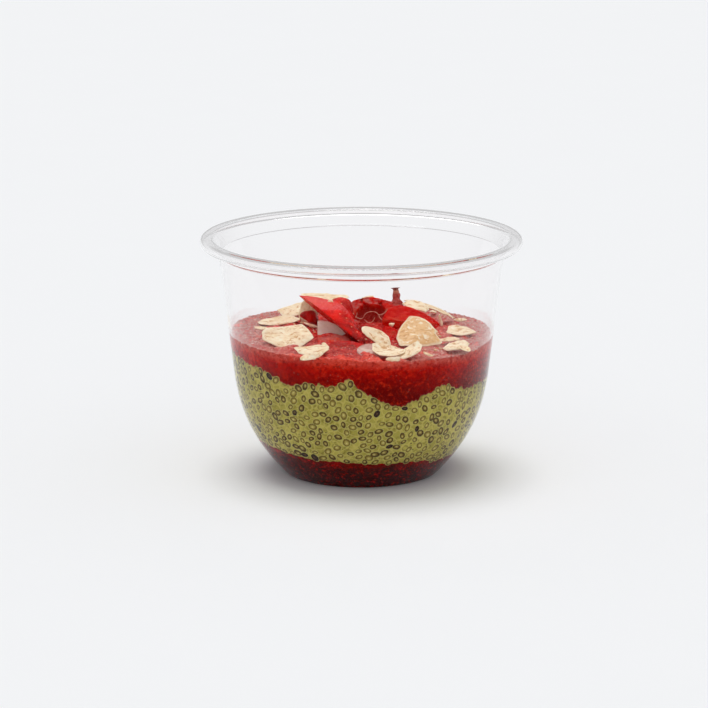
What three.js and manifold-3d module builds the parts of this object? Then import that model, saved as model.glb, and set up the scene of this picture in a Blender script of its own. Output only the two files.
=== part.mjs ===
// A clear plastic pot of layered chia pudding: fruit puree at the foot, green chia pudding,
// strawberry puree on top, and a heap of strawberry pieces and almond flakes.
// Millimetres, +Z up. The origin is on the pot's axis, in the plane it stands on; the front is -Y.

import * as THREE from 'three';
import { mergeVertices } from 'three/addons/utils/BufferGeometryUtils.js';
import Module from 'manifold-3d';

const wasm = await Module();
wasm.setup();

// ---- Driving dimensions ----

const SEGMENTS = 44; // facets around the pot and its contents
const GAP = 0.3; // clearance between neighbouring pieces

// The pot: one thermoformed sheet, measured to the middle of its thickness
const SHEET = 0.6;
const POT_HEIGHT = 71.3;
const RIM_RADIUS = 48;
const PUNT = { radius: 18.9, rise: 1.2 };
const FOOT = { inner: 20.5, outer: 22.9 };
const BELLY = [[23.2, 0.5], [30.3, 7.8], [36.2, 16.2], [37.9, 31]]; // a cubic curve up the rounded wall
const SHOULDER = { radius: 42.1, height: 66.3, step: 0.65, rise: 0.5 }; // the stacking ledge
const NECK = { radius: 43.95, height: 69.8, flare: 0.3 };
const FLANGE = { inner: 45, outer: 46.4, lip: 46.95, droop: 2.0 };

// The two layer boundaries and the level of the fill, as heights where they meet the wall.
// "lean" raises the left side and lowers the right; lobes are local dips and rises.
const LOWER_BOUNDARY = {
  mean: 9.5, lean: -2.2,
  lobes: [
    { at: -60, width: 12, rise: 0.7 }, { at: -120, width: 14, rise: -0.6 },
    { at: 30, width: 16, rise: 0.8 }, { at: 100, width: 14, rise: -0.9 },
    { at: 160, width: 12, rise: 0.6 },
  ],
};
const UPPER_BOUNDARY = {
  mean: 33.6, lean: -4,
  lobes: [
    { at: -72, width: 13, rise: -4.2 }, { at: -94, width: 4, rise: 4 },
    { at: -124, width: 10, rise: -2.4 }, { at: -51, width: 7, rise: 1.6 },
    { at: 20, width: 10, rise: -3 }, { at: 60, width: 9, rise: 2 },
    { at: 95, width: 14, rise: -4 }, { at: 140, width: 9, rise: -2 },
  ],
};
const FILL_LEVEL = {
  mean: 42, lean: -0.9,
  lobes: [
    { at: -100, width: 12, rise: 0.5 }, { at: -35, width: 14, rise: -0.5 },
    { at: 50, width: 15, rise: 0.9 }, { at: 130, width: 14, rise: -0.6 },
  ],
};
const LOWER_CROWN = 10.5; // height of each surface on the axis
const UPPER_CROWN = 33;
const FILL_CROWN = 43.8;

// Strawberry pieces, each cut from a berry of its own. "spread" is the angle of the wedge that is
// left, negative where it lies on the other side of the axis, "slice" the thickness of a slice and
// "hollow" the radius of an open core. "stem" and "tip" are the ends of the berry's axis, "face"
// points out of the main cut face, and each trim is a further cut: the way it faces and its
// distance from the origin.
const STRAWBERRIES = {
  strawberry_long_wedge: {
    radius: 6.8, spread: -105, stem: [-22.3, 2.6, 55.1], tip: [0.6, -22.4, 43], face: [-0.75, -0.62, 0.1],
    trims: [{ way: [0, 0, 1], distance: 52.9 }],
  },
  strawberry_hollow_half: {
    radius: 5.1, spread: 180, stem: [-4.6, 5, 47.4], tip: [15.4, 3.6, 47.2], face: [0, -0.74, 0.67],
    hollow: 3,
  },
  strawberry_centre_chunk: {
    radius: 4.6, spread: 180, stem: [-8.4, 3, 49.4], tip: [-3.4, -7, 45.4], face: [-0.2, 0.4, -0.9],
  },
  strawberry_right_wedge: {
    radius: 5.8, spread: -115, stem: [10.6, -2.5, 45.8], tip: [24.8, -3, 44.8], face: [0.1, -0.7, 0.7],
  },
  strawberry_pale_slice: {
    radius: 6.6, spread: 180, slice: 2.4, stem: [-18, -12.4, 42], tip: [-1.5, -12, 42.2],
    face: [0, -1, 0.06],
    trims: [{ way: [-1, 0, 0], distance: 13 }, { way: [0, 0, -1], distance: -41.6 }],
  },
  strawberry_dark_chunk: {
    radius: 3, spread: 180, stem: [-16.2, 5, 45.2], tip: [-15.2, 0, 44.8], face: [-0.4, -0.1, -0.9],
  },
  strawberry_flat_slice_left: {
    radius: 3.4, spread: 180, slice: 1.8, stem: [-13, -18.4, 43.8], tip: [-3.4, -19.2, 43.8],
    face: [0, -0.25, 0.97],
  },
  strawberry_flat_slice_front: {
    radius: 3.6, spread: 180, slice: 2, stem: [-9.6, -26.4, 43.8], tip: [2, -26, 43.8],
    face: [0, -0.25, 0.97],
  },
  strawberry_clear_slice: {
    radius: 3.8, spread: 180, slice: 1.2, stem: [-2.4, -28.4, 43], tip: [8.4, -30.6, 43.2],
    face: [-0.05, -0.2, 0.98],
  },
  strawberry_small_chunk: {
    radius: 2.9, spread: 180, stem: [6.2, -16, 44.9], tip: [11.4, -14.2, 45.3], face: [-0.2, -0.7, 0.7],
  },
};

// A whole berry's outline: how far its widest place lies towards the stem, and how blunt its ends are
const BERRY_SHAPE = { towardsStem: 0.66, blunt: 0.75 };

// The open core of a berry, as shares of its radius, and how far it lies towards the stem
const HOLLOW_SHAPE = { across: 0.8, along: 1.3, towardsStem: 0.12 };

// The stalk of a berry, standing up out of the heap. Its outline goes from foot to cap, as shares
// of its radius and of its length.
const STALK = { foot: [10.5, 8, 48.6], top: [10.4, 8.4, 53.8], radius: 0.9, cap: 1.2 };
const STALK_OUTLINE = [[1.2, 0], [0.9, 0.4], [1, 0.75], [0.6, 0.92]];
const CAP_START = 0.95;

// Almond flakes: "along" is the long axis, "face" the upper side, "curl" how far the ends rise,
// and each break is a straight snapped edge: its direction in the flake's plane and its distance.
const FLAKE_THICKNESS = 0.8;
const FLAKE_TAPER = 0.3; // how much narrower the pointed end is
const FLAKES = {
  almond_flake_top: {
    size: [14.6, 9], centre: [-10.9, 5.6, 51.3], along: [1, 0.05, -0.11], face: [0, -0.1, 1], curl: 0.4,
  },
  almond_flake_leaning: {
    size: [9.5, 6.4], centre: [-15.6, 7.6, 47], along: [0.45, 0.1, 0.88], face: [-0.3, -0.9, 0.25],
    curl: 0.2,
  },
  almond_flake_left: {
    size: [14, 8.4], centre: [-24.6, 6.2, 43.9], along: [13.2, 3.3, 0.5], face: [0, -0.12, 1], curl: 0.5,
    breaks: [{ degrees: 60, distance: 3.4 }],
  },
  almond_flake_back_left: {
    size: [9.6, 7.4], centre: [-21.2, 15, 45.2], along: [0.95, -0.1, 0.25], face: [-0.2, -0.3, 0.9],
    curl: 0.4, breaks: [{ degrees: 0, distance: 4 }],
  },
  almond_flake_large_left: {
    size: [16, 11.4], centre: [-21.4, -19.8, 44.7], along: [1, 0.04, 0.02], face: [-0.03, -0.4, 0.91],
    curl: 0.6, breaks: [{ degrees: 130, distance: 5.8 }],
  },
  almond_flake_front_left: {
    size: [11.8, 6.2], centre: [-14.8, -31.4, 42.8], along: [1, -0.12, -0.05], face: [0, -0.15, 1],
    curl: 0.3, breaks: [{ degrees: 40, distance: 3.5 }],
  },
  almond_petal: {
    size: [10.2, 5.6], centre: [4.3, -22, 45.5], along: [-6.1, 3.6, 4.6], face: [0.3, -0.8, 0.5], curl: 0.3,
    breaks: [{ degrees: 180, distance: 4.8 }],
  },
  almond_flake_large_right: {
    size: [14.4, 12], centre: [16.9, -19.4, 46.4], along: [0.92, 0.1, 0.02], face: [-0.05, -0.52, 0.85],
    curl: 0.6, breaks: [{ degrees: -55, distance: 5.2 }, { degrees: 50, distance: 6 }],
  },
  almond_flake_front: {
    size: [11.4, 7.2], centre: [8, -32.2, 43.6], along: [1, -0.1, -0.12], face: [0.1, -0.25, 0.96],
    curl: 0.5,
  },
  almond_flake_front_right: {
    size: [9, 5.4], centre: [13.8, -32.4, 43.5], along: [0.9, 0.25, 0.28], face: [-0.25, -0.35, 0.9],
    curl: 0.4, breaks: [{ degrees: 0, distance: 3.8 }],
  },
  almond_flake_back_long: {
    size: [17, 7.6], centre: [20.6, 8, 48], along: [14.9, -4, -6.4], face: [0.3, 0.1, 0.9], curl: -0.9,
  },
  almond_flake_back_short: {
    size: [8.6, 5.4], centre: [16.4, 4.6, 49.2], along: [7, -1, -3], face: [0.1, -0.35, 0.92], curl: -0.4,
  },
  almond_flake_right: {
    size: [9.6, 7.2], centre: [29.6, -5.4, 43.3], along: [1, -0.1, -0.05], face: [-0.05, -0.2, 0.98],
    curl: 0.4, breaks: [{ degrees: 150, distance: 4.2 }],
  },
  almond_flake_front_far_right: {
    size: [9.2, 6.2], centre: [26.6, -21.4, 42.8], along: [0.95, 0.25, 0], face: [0, -0.25, 0.96],
    curl: 0.4, breaks: [{ degrees: 200, distance: 4 }],
  },
};

// ---- Finishes ----

function finish(color, roughness, metalness = 0) {
  return new THREE.MeshStandardMaterial({ color, roughness, metalness });
}

const clearPlastic = finish(0xf2f5f4, 0.08);
clearPlastic.transparent = true;
clearPlastic.opacity = 0.3;
const lowerPuree = finish(0x6e0a0c, 0.35);
const chiaPudding = finish(0x969b50, 0.5);
const strawberryPuree = finish(0xb41612, 0.35);
const berryFlesh = finish(0xb8160c, 0.4);
const paleFlesh = finish(0xc89690, 0.4);
const almond = finish(0xebcda2, 0.6);

// ---- Booleans ----

/** Closed solid of a geometry: seams are merged and the slivers at its poles dropped */
function toSolid(geometry) {
  const bare = geometry.clone();
  bare.deleteAttribute('normal');
  bare.deleteAttribute('uv');
  const merged = mergeVertices(bare, 1e-4);
  const corners = [];
  for (let i = 0; i < merged.index.count; i += 3) {
    const [a, b, c] = [0, 1, 2].map((k) => merged.index.getX(i + k));
    if (a !== b && b !== c && c !== a) corners.push(a, b, c);
  }
  const vertProperties = new Float32Array(merged.attributes.position.array);
  return new wasm.Manifold(
    new wasm.Mesh({ numProp: 3, vertProperties, triVerts: new Uint32Array(corners) }),
  );
}

function toGeometry(solid) {
  const mesh = solid.getMesh();
  const geometry = new THREE.BufferGeometry();
  geometry.setAttribute('position', new THREE.BufferAttribute(mesh.vertProperties, 3));
  geometry.setIndex(new THREE.BufferAttribute(mesh.triVerts, 1));
  geometry.computeVertexNormals();
  return geometry;
}

function largestPiece(solid) {
  return solid.decompose().reduce((best, piece) => (piece.volume() > best.volume() ? piece : best));
}

// ---- The pot ----

const vec2 = (pair) => new THREE.Vector2(...pair);

/** Middle line of the sheet, from the axis across the foot, up the wall and round the rolled rim */
function sheetMiddle() {
  const low = SHEET / 2;
  const top = POT_HEIGHT - SHEET / 2;
  const edge = RIM_RADIUS - SHEET / 2;
  const axis = vec2([0, PUNT.rise + low]);
  const puntEdge = vec2([PUNT.radius, PUNT.rise + low]);
  const footInner = vec2([FOOT.inner, low]);
  const footOuter = vec2([FOOT.outer, low]);
  const shoulder = vec2([SHOULDER.radius, SHOULDER.height]);
  const ledge = vec2([SHOULDER.radius + SHOULDER.step, SHOULDER.height + SHOULDER.rise]);
  const neck = vec2([NECK.radius, NECK.height]);
  const neckTop = vec2([NECK.radius + NECK.flare, top]);
  const flangeInner = vec2([FLANGE.inner, top]);
  const flangeOuter = vec2([FLANGE.outer, top]);
  const corner = vec2([edge, top]);
  const side = vec2([edge, top - FLANGE.droop / 2]);
  const underCorner = vec2([edge, top - FLANGE.droop]);
  const lip = vec2([FLANGE.lip, top - FLANGE.droop]);
  const [bellyStart, bellyLow, bellyHigh, bellyEnd] = BELLY.map(vec2);
  const stretches = [ // each curve with the number of facets along it
    [new THREE.LineCurve(axis, puntEdge), 1],
    [new THREE.LineCurve(puntEdge, footInner), 1],
    [new THREE.LineCurve(footInner, footOuter), 1],
    [new THREE.LineCurve(footOuter, bellyStart), 1],
    [new THREE.CubicBezierCurve(bellyStart, bellyLow, bellyHigh, bellyEnd), 6],
    [new THREE.LineCurve(bellyEnd, shoulder), 1],
    [new THREE.LineCurve(shoulder, ledge), 1],
    [new THREE.LineCurve(ledge, neck), 1],
    [new THREE.QuadraticBezierCurve(neck, neckTop, flangeInner), 2],
    [new THREE.LineCurve(flangeInner, flangeOuter), 1],
    [new THREE.QuadraticBezierCurve(flangeOuter, corner, side), 2],
    [new THREE.QuadraticBezierCurve(side, underCorner, lip), 2],
  ];
  return [axis, ...stretches.flatMap(([curve, count]) => curve.getPoints(count).slice(1))];
}

/** Line beside a line, at a distance to the left of its direction */
function besideLine(points, distance) {
  const normals = points.slice(1).map((point, i) => {
    const step = point.clone().sub(points[i]).normalize();
    return new THREE.Vector2(-step.y, step.x);
  });
  return points.map((point, i) => {
    const before = normals[Math.max(i - 1, 0)];
    const after = normals[Math.min(i, normals.length - 1)];
    const miter = before.clone().add(after).multiplyScalar(distance / (1 + before.dot(after)));
    return point.clone().add(miter);
  });
}

const middle = sheetMiddle();

function pot() {
  const inside = besideLine(middle, SHEET / 2);
  const outside = besideLine(middle, -SHEET / 2);
  return new THREE.LatheGeometry([...outside, ...inside.reverse()], SEGMENTS).rotateX(Math.PI / 2);
}

// ---- The layers ----

const liner = besideLine(middle, SHEET / 2 + GAP); // what the contents may reach
const floorCount = 4; // points of the liner from the axis to the foot of the wall
const linerFloor = liner.slice(0, floorCount);
const linerWall = liner.slice(floorCount - 1);

/** Radius of the liner's wall at a height */
function linerRadius(height) {
  const above = Math.max(1, linerWall.findIndex((point) => point.y >= height));
  const [low, high] = [linerWall[above - 1], linerWall[above]];
  return THREE.MathUtils.mapLinear(height, low.y, high.y, low.x, high.x);
}

/** Height where a boundary meets the wall, at an angle in degrees */
function wallHeight({ mean, lean, lobes }, degrees) {
  const waves = lobes.map(({ at, width, rise }) => {
    const apart = THREE.MathUtils.euclideanModulo(degrees - at + 180, 360) - 180;
    return rise * Math.exp(-((apart / width) ** 2));
  });
  const lift = lean * Math.cos(THREE.MathUtils.degToRad(degrees));
  return mean + lift + waves.reduce((sum, wave) => sum + wave, 0);
}

/** Rings of a surface from its crown out to the wall; each gives [radius, height] at an angle */
function surfaceRings(boundary, crown, shift, fractions) {
  return fractions.map((fraction) => (degrees) => {
    const edge = wallHeight(boundary, degrees) + shift;
    const height = THREE.MathUtils.lerp(crown + shift, edge, fraction ** 2);
    return [linerRadius(edge) * fraction, height];
  });
}

/** Rings up the wall between two heights, without the end ones */
function wallRings(lowAt, highAt, count) {
  return Array.from({ length: count }, (_, i) => (degrees) => {
    const height = THREE.MathUtils.lerp(lowAt(degrees), highAt(degrees), (i + 1) / (count + 1));
    return [linerRadius(height), height];
  });
}

/** Solid between two poles on the axis, through rings of points */
function ringSolid(lowPole, rings, highPole) {
  const angle = 360 / SEGMENTS;
  const positions = [0, 0, lowPole];
  for (const ring of rings) {
    for (let j = 0; j < SEGMENTS; j += 1) {
      const [radius, height] = ring(angle * j);
      const turn = THREE.MathUtils.degToRad(angle * j);
      positions.push(radius * Math.cos(turn), radius * Math.sin(turn), height);
    }
  }
  const last = positions.length / 3;
  positions.push(0, 0, highPole);
  const at = (i, j) => 1 + i * SEGMENTS + (j % SEGMENTS);
  const corners = [];
  for (let j = 0; j < SEGMENTS; j += 1) {
    corners.push(0, at(0, j + 1), at(0, j));
    corners.push(last, at(rings.length - 1, j), at(rings.length - 1, j + 1));
    for (let i = 0; i + 1 < rings.length; i += 1) {
      const [a, b, c, d] = [at(i, j), at(i, j + 1), at(i + 1, j + 1), at(i + 1, j)];
      const outwards = rings[i](0)[0] <= rings[i + 1](0)[0];
      // The diagonal leans the same way on both sides of a boundary, so the gap stays even
      if (outwards) corners.push(a, b, c, a, c, d);
      else corners.push(a, b, d, b, c, d);
    }
  }
  const geometry = new THREE.BufferGeometry();
  geometry.setAttribute('position', new THREE.Float32BufferAttribute(positions, 3));
  geometry.setIndex(corners);
  geometry.computeVertexNormals();
  return geometry;
}

const outFractions = [0.35, 0.7, 1];
const inFractions = [...outFractions].reverse();
const half = GAP / 2;

/** Layer between two boundaries */
function layer(lower, lowerCrown, upper, upperCrown, wallCount) {
  return ringSolid(lowerCrown + half, [
    ...surfaceRings(lower, lowerCrown, half, outFractions),
    ...wallRings(
      (degrees) => wallHeight(lower, degrees) + half,
      (degrees) => wallHeight(upper, degrees) - half,
      wallCount,
    ),
    ...surfaceRings(upper, upperCrown, -half, inFractions),
  ], upperCrown - half);
}

/** The layer that fills the foot of the pot */
function footLayer(upper, upperCrown, wallCount) {
  const floorRings = linerFloor.slice(1).map((point) => () => [point.x, point.y]);
  return ringSolid(linerFloor[0].y, [
    ...floorRings,
    ...wallRings(
      () => linerFloor[floorCount - 1].y,
      (degrees) => wallHeight(upper, degrees) - half,
      wallCount,
    ),
    ...surfaceRings(upper, upperCrown, -half, inFractions),
  ], upperCrown - half);
}

// ---- Strawberry pieces ----

const vec3 = (triple) => new THREE.Vector3(...triple);

/** Matrix that stands local Z on "up" and turns local X towards "front", at a place */
function placed(centre, front, up) {
  const z = up.clone().normalize();
  const y = z.clone().cross(front).normalize();
  const x = y.clone().cross(z);
  return new THREE.Matrix4().makeBasis(x, y, z).setPosition(centre);
}

/** Whole berry along Z: broad at the stem, drawn to a blunt tip */
function wholeBerry(length, radius) {
  const steps = 7;
  const profile = [];
  for (let i = 0; i <= steps; i += 1) {
    const along = i / steps;
    const swell = Math.max(Math.sin(Math.PI * along ** BERRY_SHAPE.towardsStem), 0);
    profile.push(new THREE.Vector2(radius * swell ** BERRY_SHAPE.blunt, (along - 0.5) * length));
  }
  profile[0].x = 0;
  profile[steps].x = 0;
  return new THREE.LatheGeometry(profile, 14).rotateX(Math.PI / 2);
}

/** Block that removes everything beyond a plane parallel to the berry's axis */
function planeCut(degrees, distance, size) {
  const block = new THREE.BoxGeometry(size, size, size).translate(distance + size / 2, 0, 0);
  return toSolid(block.rotateZ(THREE.MathUtils.degToRad(degrees)));
}

/** Block that removes everything beyond a plane, given the way it faces and a point on it */
function trimCut(way, onPlane, size) {
  const aim = new THREE.Quaternion().setFromUnitVectors(new THREE.Vector3(1, 0, 0), way);
  const block = new THREE.BoxGeometry(size, size, size).translate(size / 2, 0, 0);
  return toSolid(block.applyQuaternion(aim).translate(...onPlane.toArray()));
}

/** Wedge, half or slice of a berry, made larger all round by "grow" */
function berryPiece({ radius, spread, slice, hollow, stem, tip, face, trims = [] }, grow) {
  const axis = vec3(tip).sub(vec3(stem));
  const length = axis.length() + 2 * grow;
  const size = 3 * length; // blocks large enough to clear the whole berry
  let piece = toSolid(wholeBerry(length, radius + grow));
  piece = piece.subtract(planeCut(180, grow, size)); // the main cut face, towards local -X
  if (Math.abs(spread) < 180) piece = piece.subtract(planeCut(spread, grow, size));
  if (slice) piece = piece.subtract(planeCut(0, slice + grow, size));
  if (hollow && grow === 0) {
    const { across, along, towardsStem } = HOLLOW_SHAPE;
    const pocket = new THREE.SphereGeometry(hollow, 12, 8).scale(across, across, along);
    piece = piece.subtract(toSolid(pocket.translate(0, 0, -length * towardsStem)));
  }
  const centre = vec3(stem).add(vec3(tip)).multiplyScalar(0.5);
  piece = piece.transform(placed(centre, vec3(face).negate(), axis).toArray());
  for (const { way, distance } of trims) {
    const reach = distance + grow - centre.dot(vec3(way));
    const onPlane = centre.clone().addScaledVector(vec3(way), reach);
    piece = piece.subtract(trimCut(vec3(way), onPlane, size));
  }
  return piece;
}

/** Thin bent stalk with a small cap */
function stalkPiece({ foot, top, radius, cap }, grow) {
  const rise = vec3(top).sub(vec3(foot));
  const length = rise.length();
  const shaft = STALK_OUTLINE.map(([wide, high], i) => [radius * wide + grow, i ? length * high : -grow]);
  const capTop = length + grow;
  const profile = [
    [0, -grow], ...shaft, [cap + grow, length * CAP_START], [cap + grow, capTop], [0, capTop],
  ].map(vec2);
  const matrix = placed(vec3(foot), new THREE.Vector3(1, 0, 0), rise);
  return toSolid(new THREE.LatheGeometry(profile, 8).rotateX(Math.PI / 2).applyMatrix4(matrix));
}

// ---- Almond flakes ----

/** Outline of an almond slice, pointed towards +X, with its snapped edges */
function almondOutline([length, width], breaks, grow) {
  const count = 14;
  const points = [];
  for (let i = 0; i < count; i += 1) {
    const turn = (2 * Math.PI * i) / count;
    const taper = 1 - FLAKE_TAPER * Math.cos(turn);
    const point = new THREE.Vector2(
      (length / 2 + grow) * Math.cos(turn),
      (width / 2 + grow) * Math.sin(turn) * taper,
    );
    for (const { degrees, distance } of breaks) {
      const turned = THREE.MathUtils.degToRad(degrees);
      const way = new THREE.Vector2(Math.cos(turned), Math.sin(turned));
      const excess = Math.max(point.dot(way) - distance - grow, 0);
      point.addScaledVector(way, -excess);
    }
    points.push(point);
  }
  return points;
}

/** Thin flake whose ends curl up, made larger all round by "grow" */
function flakePiece({ size, centre, along, face, curl, breaks = [] }, grow) {
  const thickness = FLAKE_THICKNESS + 2 * grow;
  const shape = new THREE.Shape(almondOutline(size, breaks, grow));
  const geometry = new THREE.ExtrudeGeometry(shape, { depth: thickness, bevelEnabled: false });
  geometry.translate(0, 0, -thickness / 2);
  const position = geometry.attributes.position;
  for (let i = 0; i < position.count; i += 1) {
    const lift = curl * ((2 * position.getX(i)) / size[0]) ** 2;
    position.setZ(i, position.getZ(i) + lift);
  }
  const matrix = placed(vec3(centre), vec3(along), vec3(face));
  return toSolid(geometry.applyMatrix4(matrix));
}

// ---- Assembly ----

const group = new THREE.Group();

function addMesh(name, geometry, material) {
  const mesh = new THREE.Mesh(geometry, material);
  mesh.name = name;
  group.add(mesh);
}

const makers = [
  ...Object.entries(STRAWBERRIES).map(([name, sizes]) => ({
    name,
    make: (grow) => berryPiece(sizes, grow),
    material: name.match(/pale|clear/) ? paleFlesh : berryFlesh,
  })),
  { name: 'strawberry_stalk', make: (grow) => stalkPiece(STALK, grow), material: berryFlesh },
  ...Object.entries(FLAKES).map(([name, sizes]) => ({
    name,
    make: (grow) => flakePiece(sizes, grow),
    material: almond,
  })),
];

let puree = toSolid(layer(UPPER_BOUNDARY, UPPER_CROWN, FILL_LEVEL, FILL_CROWN, 4));
const taken = []; // what is already there, with its clearance
for (const { name, make, material } of makers) {
  let piece = make(0);
  for (const other of taken) piece = piece.subtract(other);
  addMesh(name, toGeometry(largestPiece(piece)), material);
  const grown = make(GAP);
  taken.push(grown);
  puree = puree.subtract(grown);
}

addMesh('pot', pot(), clearPlastic);
addMesh('lower_puree', footLayer(LOWER_BOUNDARY, LOWER_CROWN, 3), lowerPuree);
addMesh('chia_pudding', layer(LOWER_BOUNDARY, LOWER_CROWN, UPPER_BOUNDARY, UPPER_CROWN, 4), chiaPudding);
addMesh('strawberry_puree', toGeometry(largestPiece(puree)), strawberryPuree);

export default group;
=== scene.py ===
"""Chia pudding in a clear plastic pot: the look of every piece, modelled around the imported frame.

Sizes and places in this file are in millimetres, and MM turns them into Blender's metres. The pot
stands on the plane Z = 0 with its axis on Z, and its front is -Y, as in the frame.
"""

import math

import bmesh
import bpy
import numpy as np
from mathutils import Matrix, Vector, noise


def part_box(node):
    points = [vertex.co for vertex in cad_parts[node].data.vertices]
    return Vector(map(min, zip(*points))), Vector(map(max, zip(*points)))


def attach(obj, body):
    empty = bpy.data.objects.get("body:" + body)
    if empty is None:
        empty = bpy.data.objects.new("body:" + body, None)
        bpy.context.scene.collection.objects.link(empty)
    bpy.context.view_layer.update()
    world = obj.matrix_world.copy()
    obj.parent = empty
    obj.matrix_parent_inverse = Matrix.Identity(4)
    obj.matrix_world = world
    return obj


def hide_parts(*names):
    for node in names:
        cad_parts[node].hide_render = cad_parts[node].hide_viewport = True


bl_info = {
    "name": "Chia Pudding Pot",
    "version": (1, 0, 0),
    "blender": (4, 5, 0),
    "location": "View3D > Sidebar > Pudding Pot",
    "description": "Models a clear plastic pot of chia pudding with strawberry puree, berries and almonds",
    "category": "Object",
}

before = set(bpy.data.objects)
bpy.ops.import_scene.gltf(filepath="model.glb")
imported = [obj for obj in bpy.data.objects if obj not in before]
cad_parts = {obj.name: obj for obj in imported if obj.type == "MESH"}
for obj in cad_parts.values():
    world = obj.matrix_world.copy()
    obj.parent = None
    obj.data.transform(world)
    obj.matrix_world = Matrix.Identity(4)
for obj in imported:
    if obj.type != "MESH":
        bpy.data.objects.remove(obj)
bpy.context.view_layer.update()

MM = 0.001
BODY = "root"

# ---- Sizes of the pot, as in the frame ----

SHEET = 0.6  # thickness of the plastic
POT_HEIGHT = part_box("pot")[1].z / MM
RIM_RADIUS = 48.0
PUNT = {"radius": 18.9, "rise": 1.2}
FOOT = {"inner": 20.5, "outer": 22.9}
BELLY = [(23.2, 0.5), (30.3, 7.8), (36.2, 16.2), (37.9, 31.0)]
SHOULDER = {"radius": 42.1, "height": 66.3, "step": 0.65, "rise": 0.5}
NECK = {"radius": 43.95, "height": 69.8, "flare": 0.3}
FLANGE = {"inner": 45.0, "outer": 46.4, "lip": 46.95, "droop": 2.0}
INTO_WALL = 0.15  # how far the contents reach into the plastic, so that no air shows between them

# Layer boundaries where they meet the wall: mean height, how much the left side is higher, the fine
# ragged edge as (seed, height), and local waves as (degrees, width in degrees, rise)
LOWER_BOUNDARY = {
    "mean": 9.5, "lean": -2.2, "ragged": (3, 0.12),
    "waves": [(-60, 12, 0.7), (-120, 14, -0.6), (30, 16, 0.8), (100, 14, -0.9), (160, 12, 0.6)],
}
UPPER_BOUNDARY = {
    "mean": 33.6, "lean": -4.0, "ragged": (5, 0.27),
    "waves": [(-74.5, 12, -4.5), (-95.5, 3.0, 3.0), (-104, 3.5, -0.9), (-124, 10, -2.4), (-51, 7, 1.6),
              (-35, 3, -0.7), (20, 10, -3.0), (60, 9, 2.0), (95, 14, -4.0), (140, 9, -2.0)],
}
FILL_LEVEL = {
    "mean": 42.0, "lean": -0.9, "ragged": (8, 0.1),
    "waves": [(-100, 12, 0.5), (-40, 12, -0.4), (6, 34, 1.3), (55, 12, 0.6), (130, 14, -0.6)],
}
LOWER_CROWN = 10.5
UPPER_CROWN = 33.0
FILL_CROWN = 43.8
FAR_ABOVE = 9.0  # stands for a corner that isn't near the puree's lower boundary
COLUMNS = 600  # corners round each filling
FEWEST_WAVES, MOST_WAVES, WAVE_STEP = 24, 190, 7  # of a ragged edge, round the pot

# Lumps of the puree's upper surface: size, seed and rise
LUMPS = [(6, 3.1, 0.8), (2.2, 7.7, 0.75), (1.0, 1.9, 0.4)]

SEED_TRIES = 12000  # places tried for a chia seed
FROTH_RADIUS = 37.3


# ---- Small helpers for numbers and meshes ----

def srgb(red, green, blue):
    """Scene colour of a colour picked on screen, 0 to 255."""
    def linear(value):
        value /= 255
        return value / 12.92 if value <= 0.04045 else ((value + 0.055) / 1.055) ** 2.4
    return linear(red), linear(green), linear(blue), 1.0


def grey(level):
    return level, level, level * 1.01, 1.0


def smooth(value, low, high):
    """0 below low, 1 above high, and an even slope between them."""
    share = np.clip((value - low) / (high - low), 0, 1)
    return share * share * (3 - 2 * share)


def deselect_all():
    if bpy.context.object and bpy.context.object.mode != "OBJECT":
        bpy.ops.object.mode_set(mode="OBJECT")
    bpy.ops.object.select_all(action="DESELECT")


def make_active(piece):
    deselect_all()
    piece.select_set(True)
    bpy.context.view_layer.objects.active = piece


def named(name):
    """The primitive that was just added, under its piece's name."""
    piece = bpy.context.object
    piece.name = piece.data.name = name
    return piece


def coordinates(piece):
    """Corners of a piece in millimetres, one row each."""
    found = np.zeros(len(piece.data.vertices) * 3)
    piece.data.vertices.foreach_get("co", found)
    return found.reshape(-1, 3) / MM


def set_coordinates(piece, points):
    piece.data.vertices.foreach_set("co", (np.asarray(points) * MM).ravel())
    piece.data.update()


def unit_ball(name, segments, rings):
    """A ball of radius 1, and its corners in units of that radius."""
    deselect_all()
    bpy.ops.mesh.primitive_uv_sphere_add(segments=segments, ring_count=rings, radius=1)
    piece = named(name)
    return piece, coordinates(piece) * MM


def mesh_piece(context, name, points, faces):
    """A new piece from its corners in metres and its faces."""
    piece = bpy.data.objects.new(name, bpy.data.meshes.new(name))
    context.collection.objects.link(piece)
    piece.data.from_pydata(points, [], faces)
    return piece


def copied_faces(shape, copies):
    """Faces of so many copies of a shape, whose corners follow one another."""
    count = len(shape.data.vertices)
    return [tuple(corner + index * count for corner in polygon.vertices)
            for index in range(copies) for polygon in shape.data.polygons]


def round_axis(degrees, radius):
    """X and Y at angles in degrees and distances from the axis."""
    return radius * np.cos(np.radians(degrees)), radius * np.sin(np.radians(degrees))


def set_attribute(piece, name, values):
    """Stores one number for each corner, which the materials read."""
    attribute = piece.data.attributes.new(name, "FLOAT", "POINT")
    attribute.data.foreach_set("value", np.asarray(values, np.float32))


def set_vectors(piece, name, vectors):
    """Stores one vector for each corner, which the materials read."""
    attribute = piece.data.attributes.new(name, "FLOAT_VECTOR", "POINT")
    attribute.data.foreach_set("vector", np.asarray(vectors, np.float32).ravel())


def apply_modifier(piece, kind, **settings):
    """Adds a modifier, sets it up and applies it."""
    make_active(piece)
    modifier = piece.modifiers.new(kind.title(), kind)
    for key, value in settings.items():
        setattr(modifier, key, value)
    bpy.ops.object.modifier_apply(modifier=modifier.name)


def finish_piece(piece, material, replaces=()):
    """Smooth shading, finish, and the piece's place on the frame."""
    make_active(piece)
    bpy.ops.object.shade_smooth()
    piece.data.materials.clear()
    piece.data.materials.append(material)
    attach(piece, BODY)
    if replaces:
        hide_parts(*replaces)


# ---- Small helpers for materials ----

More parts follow.
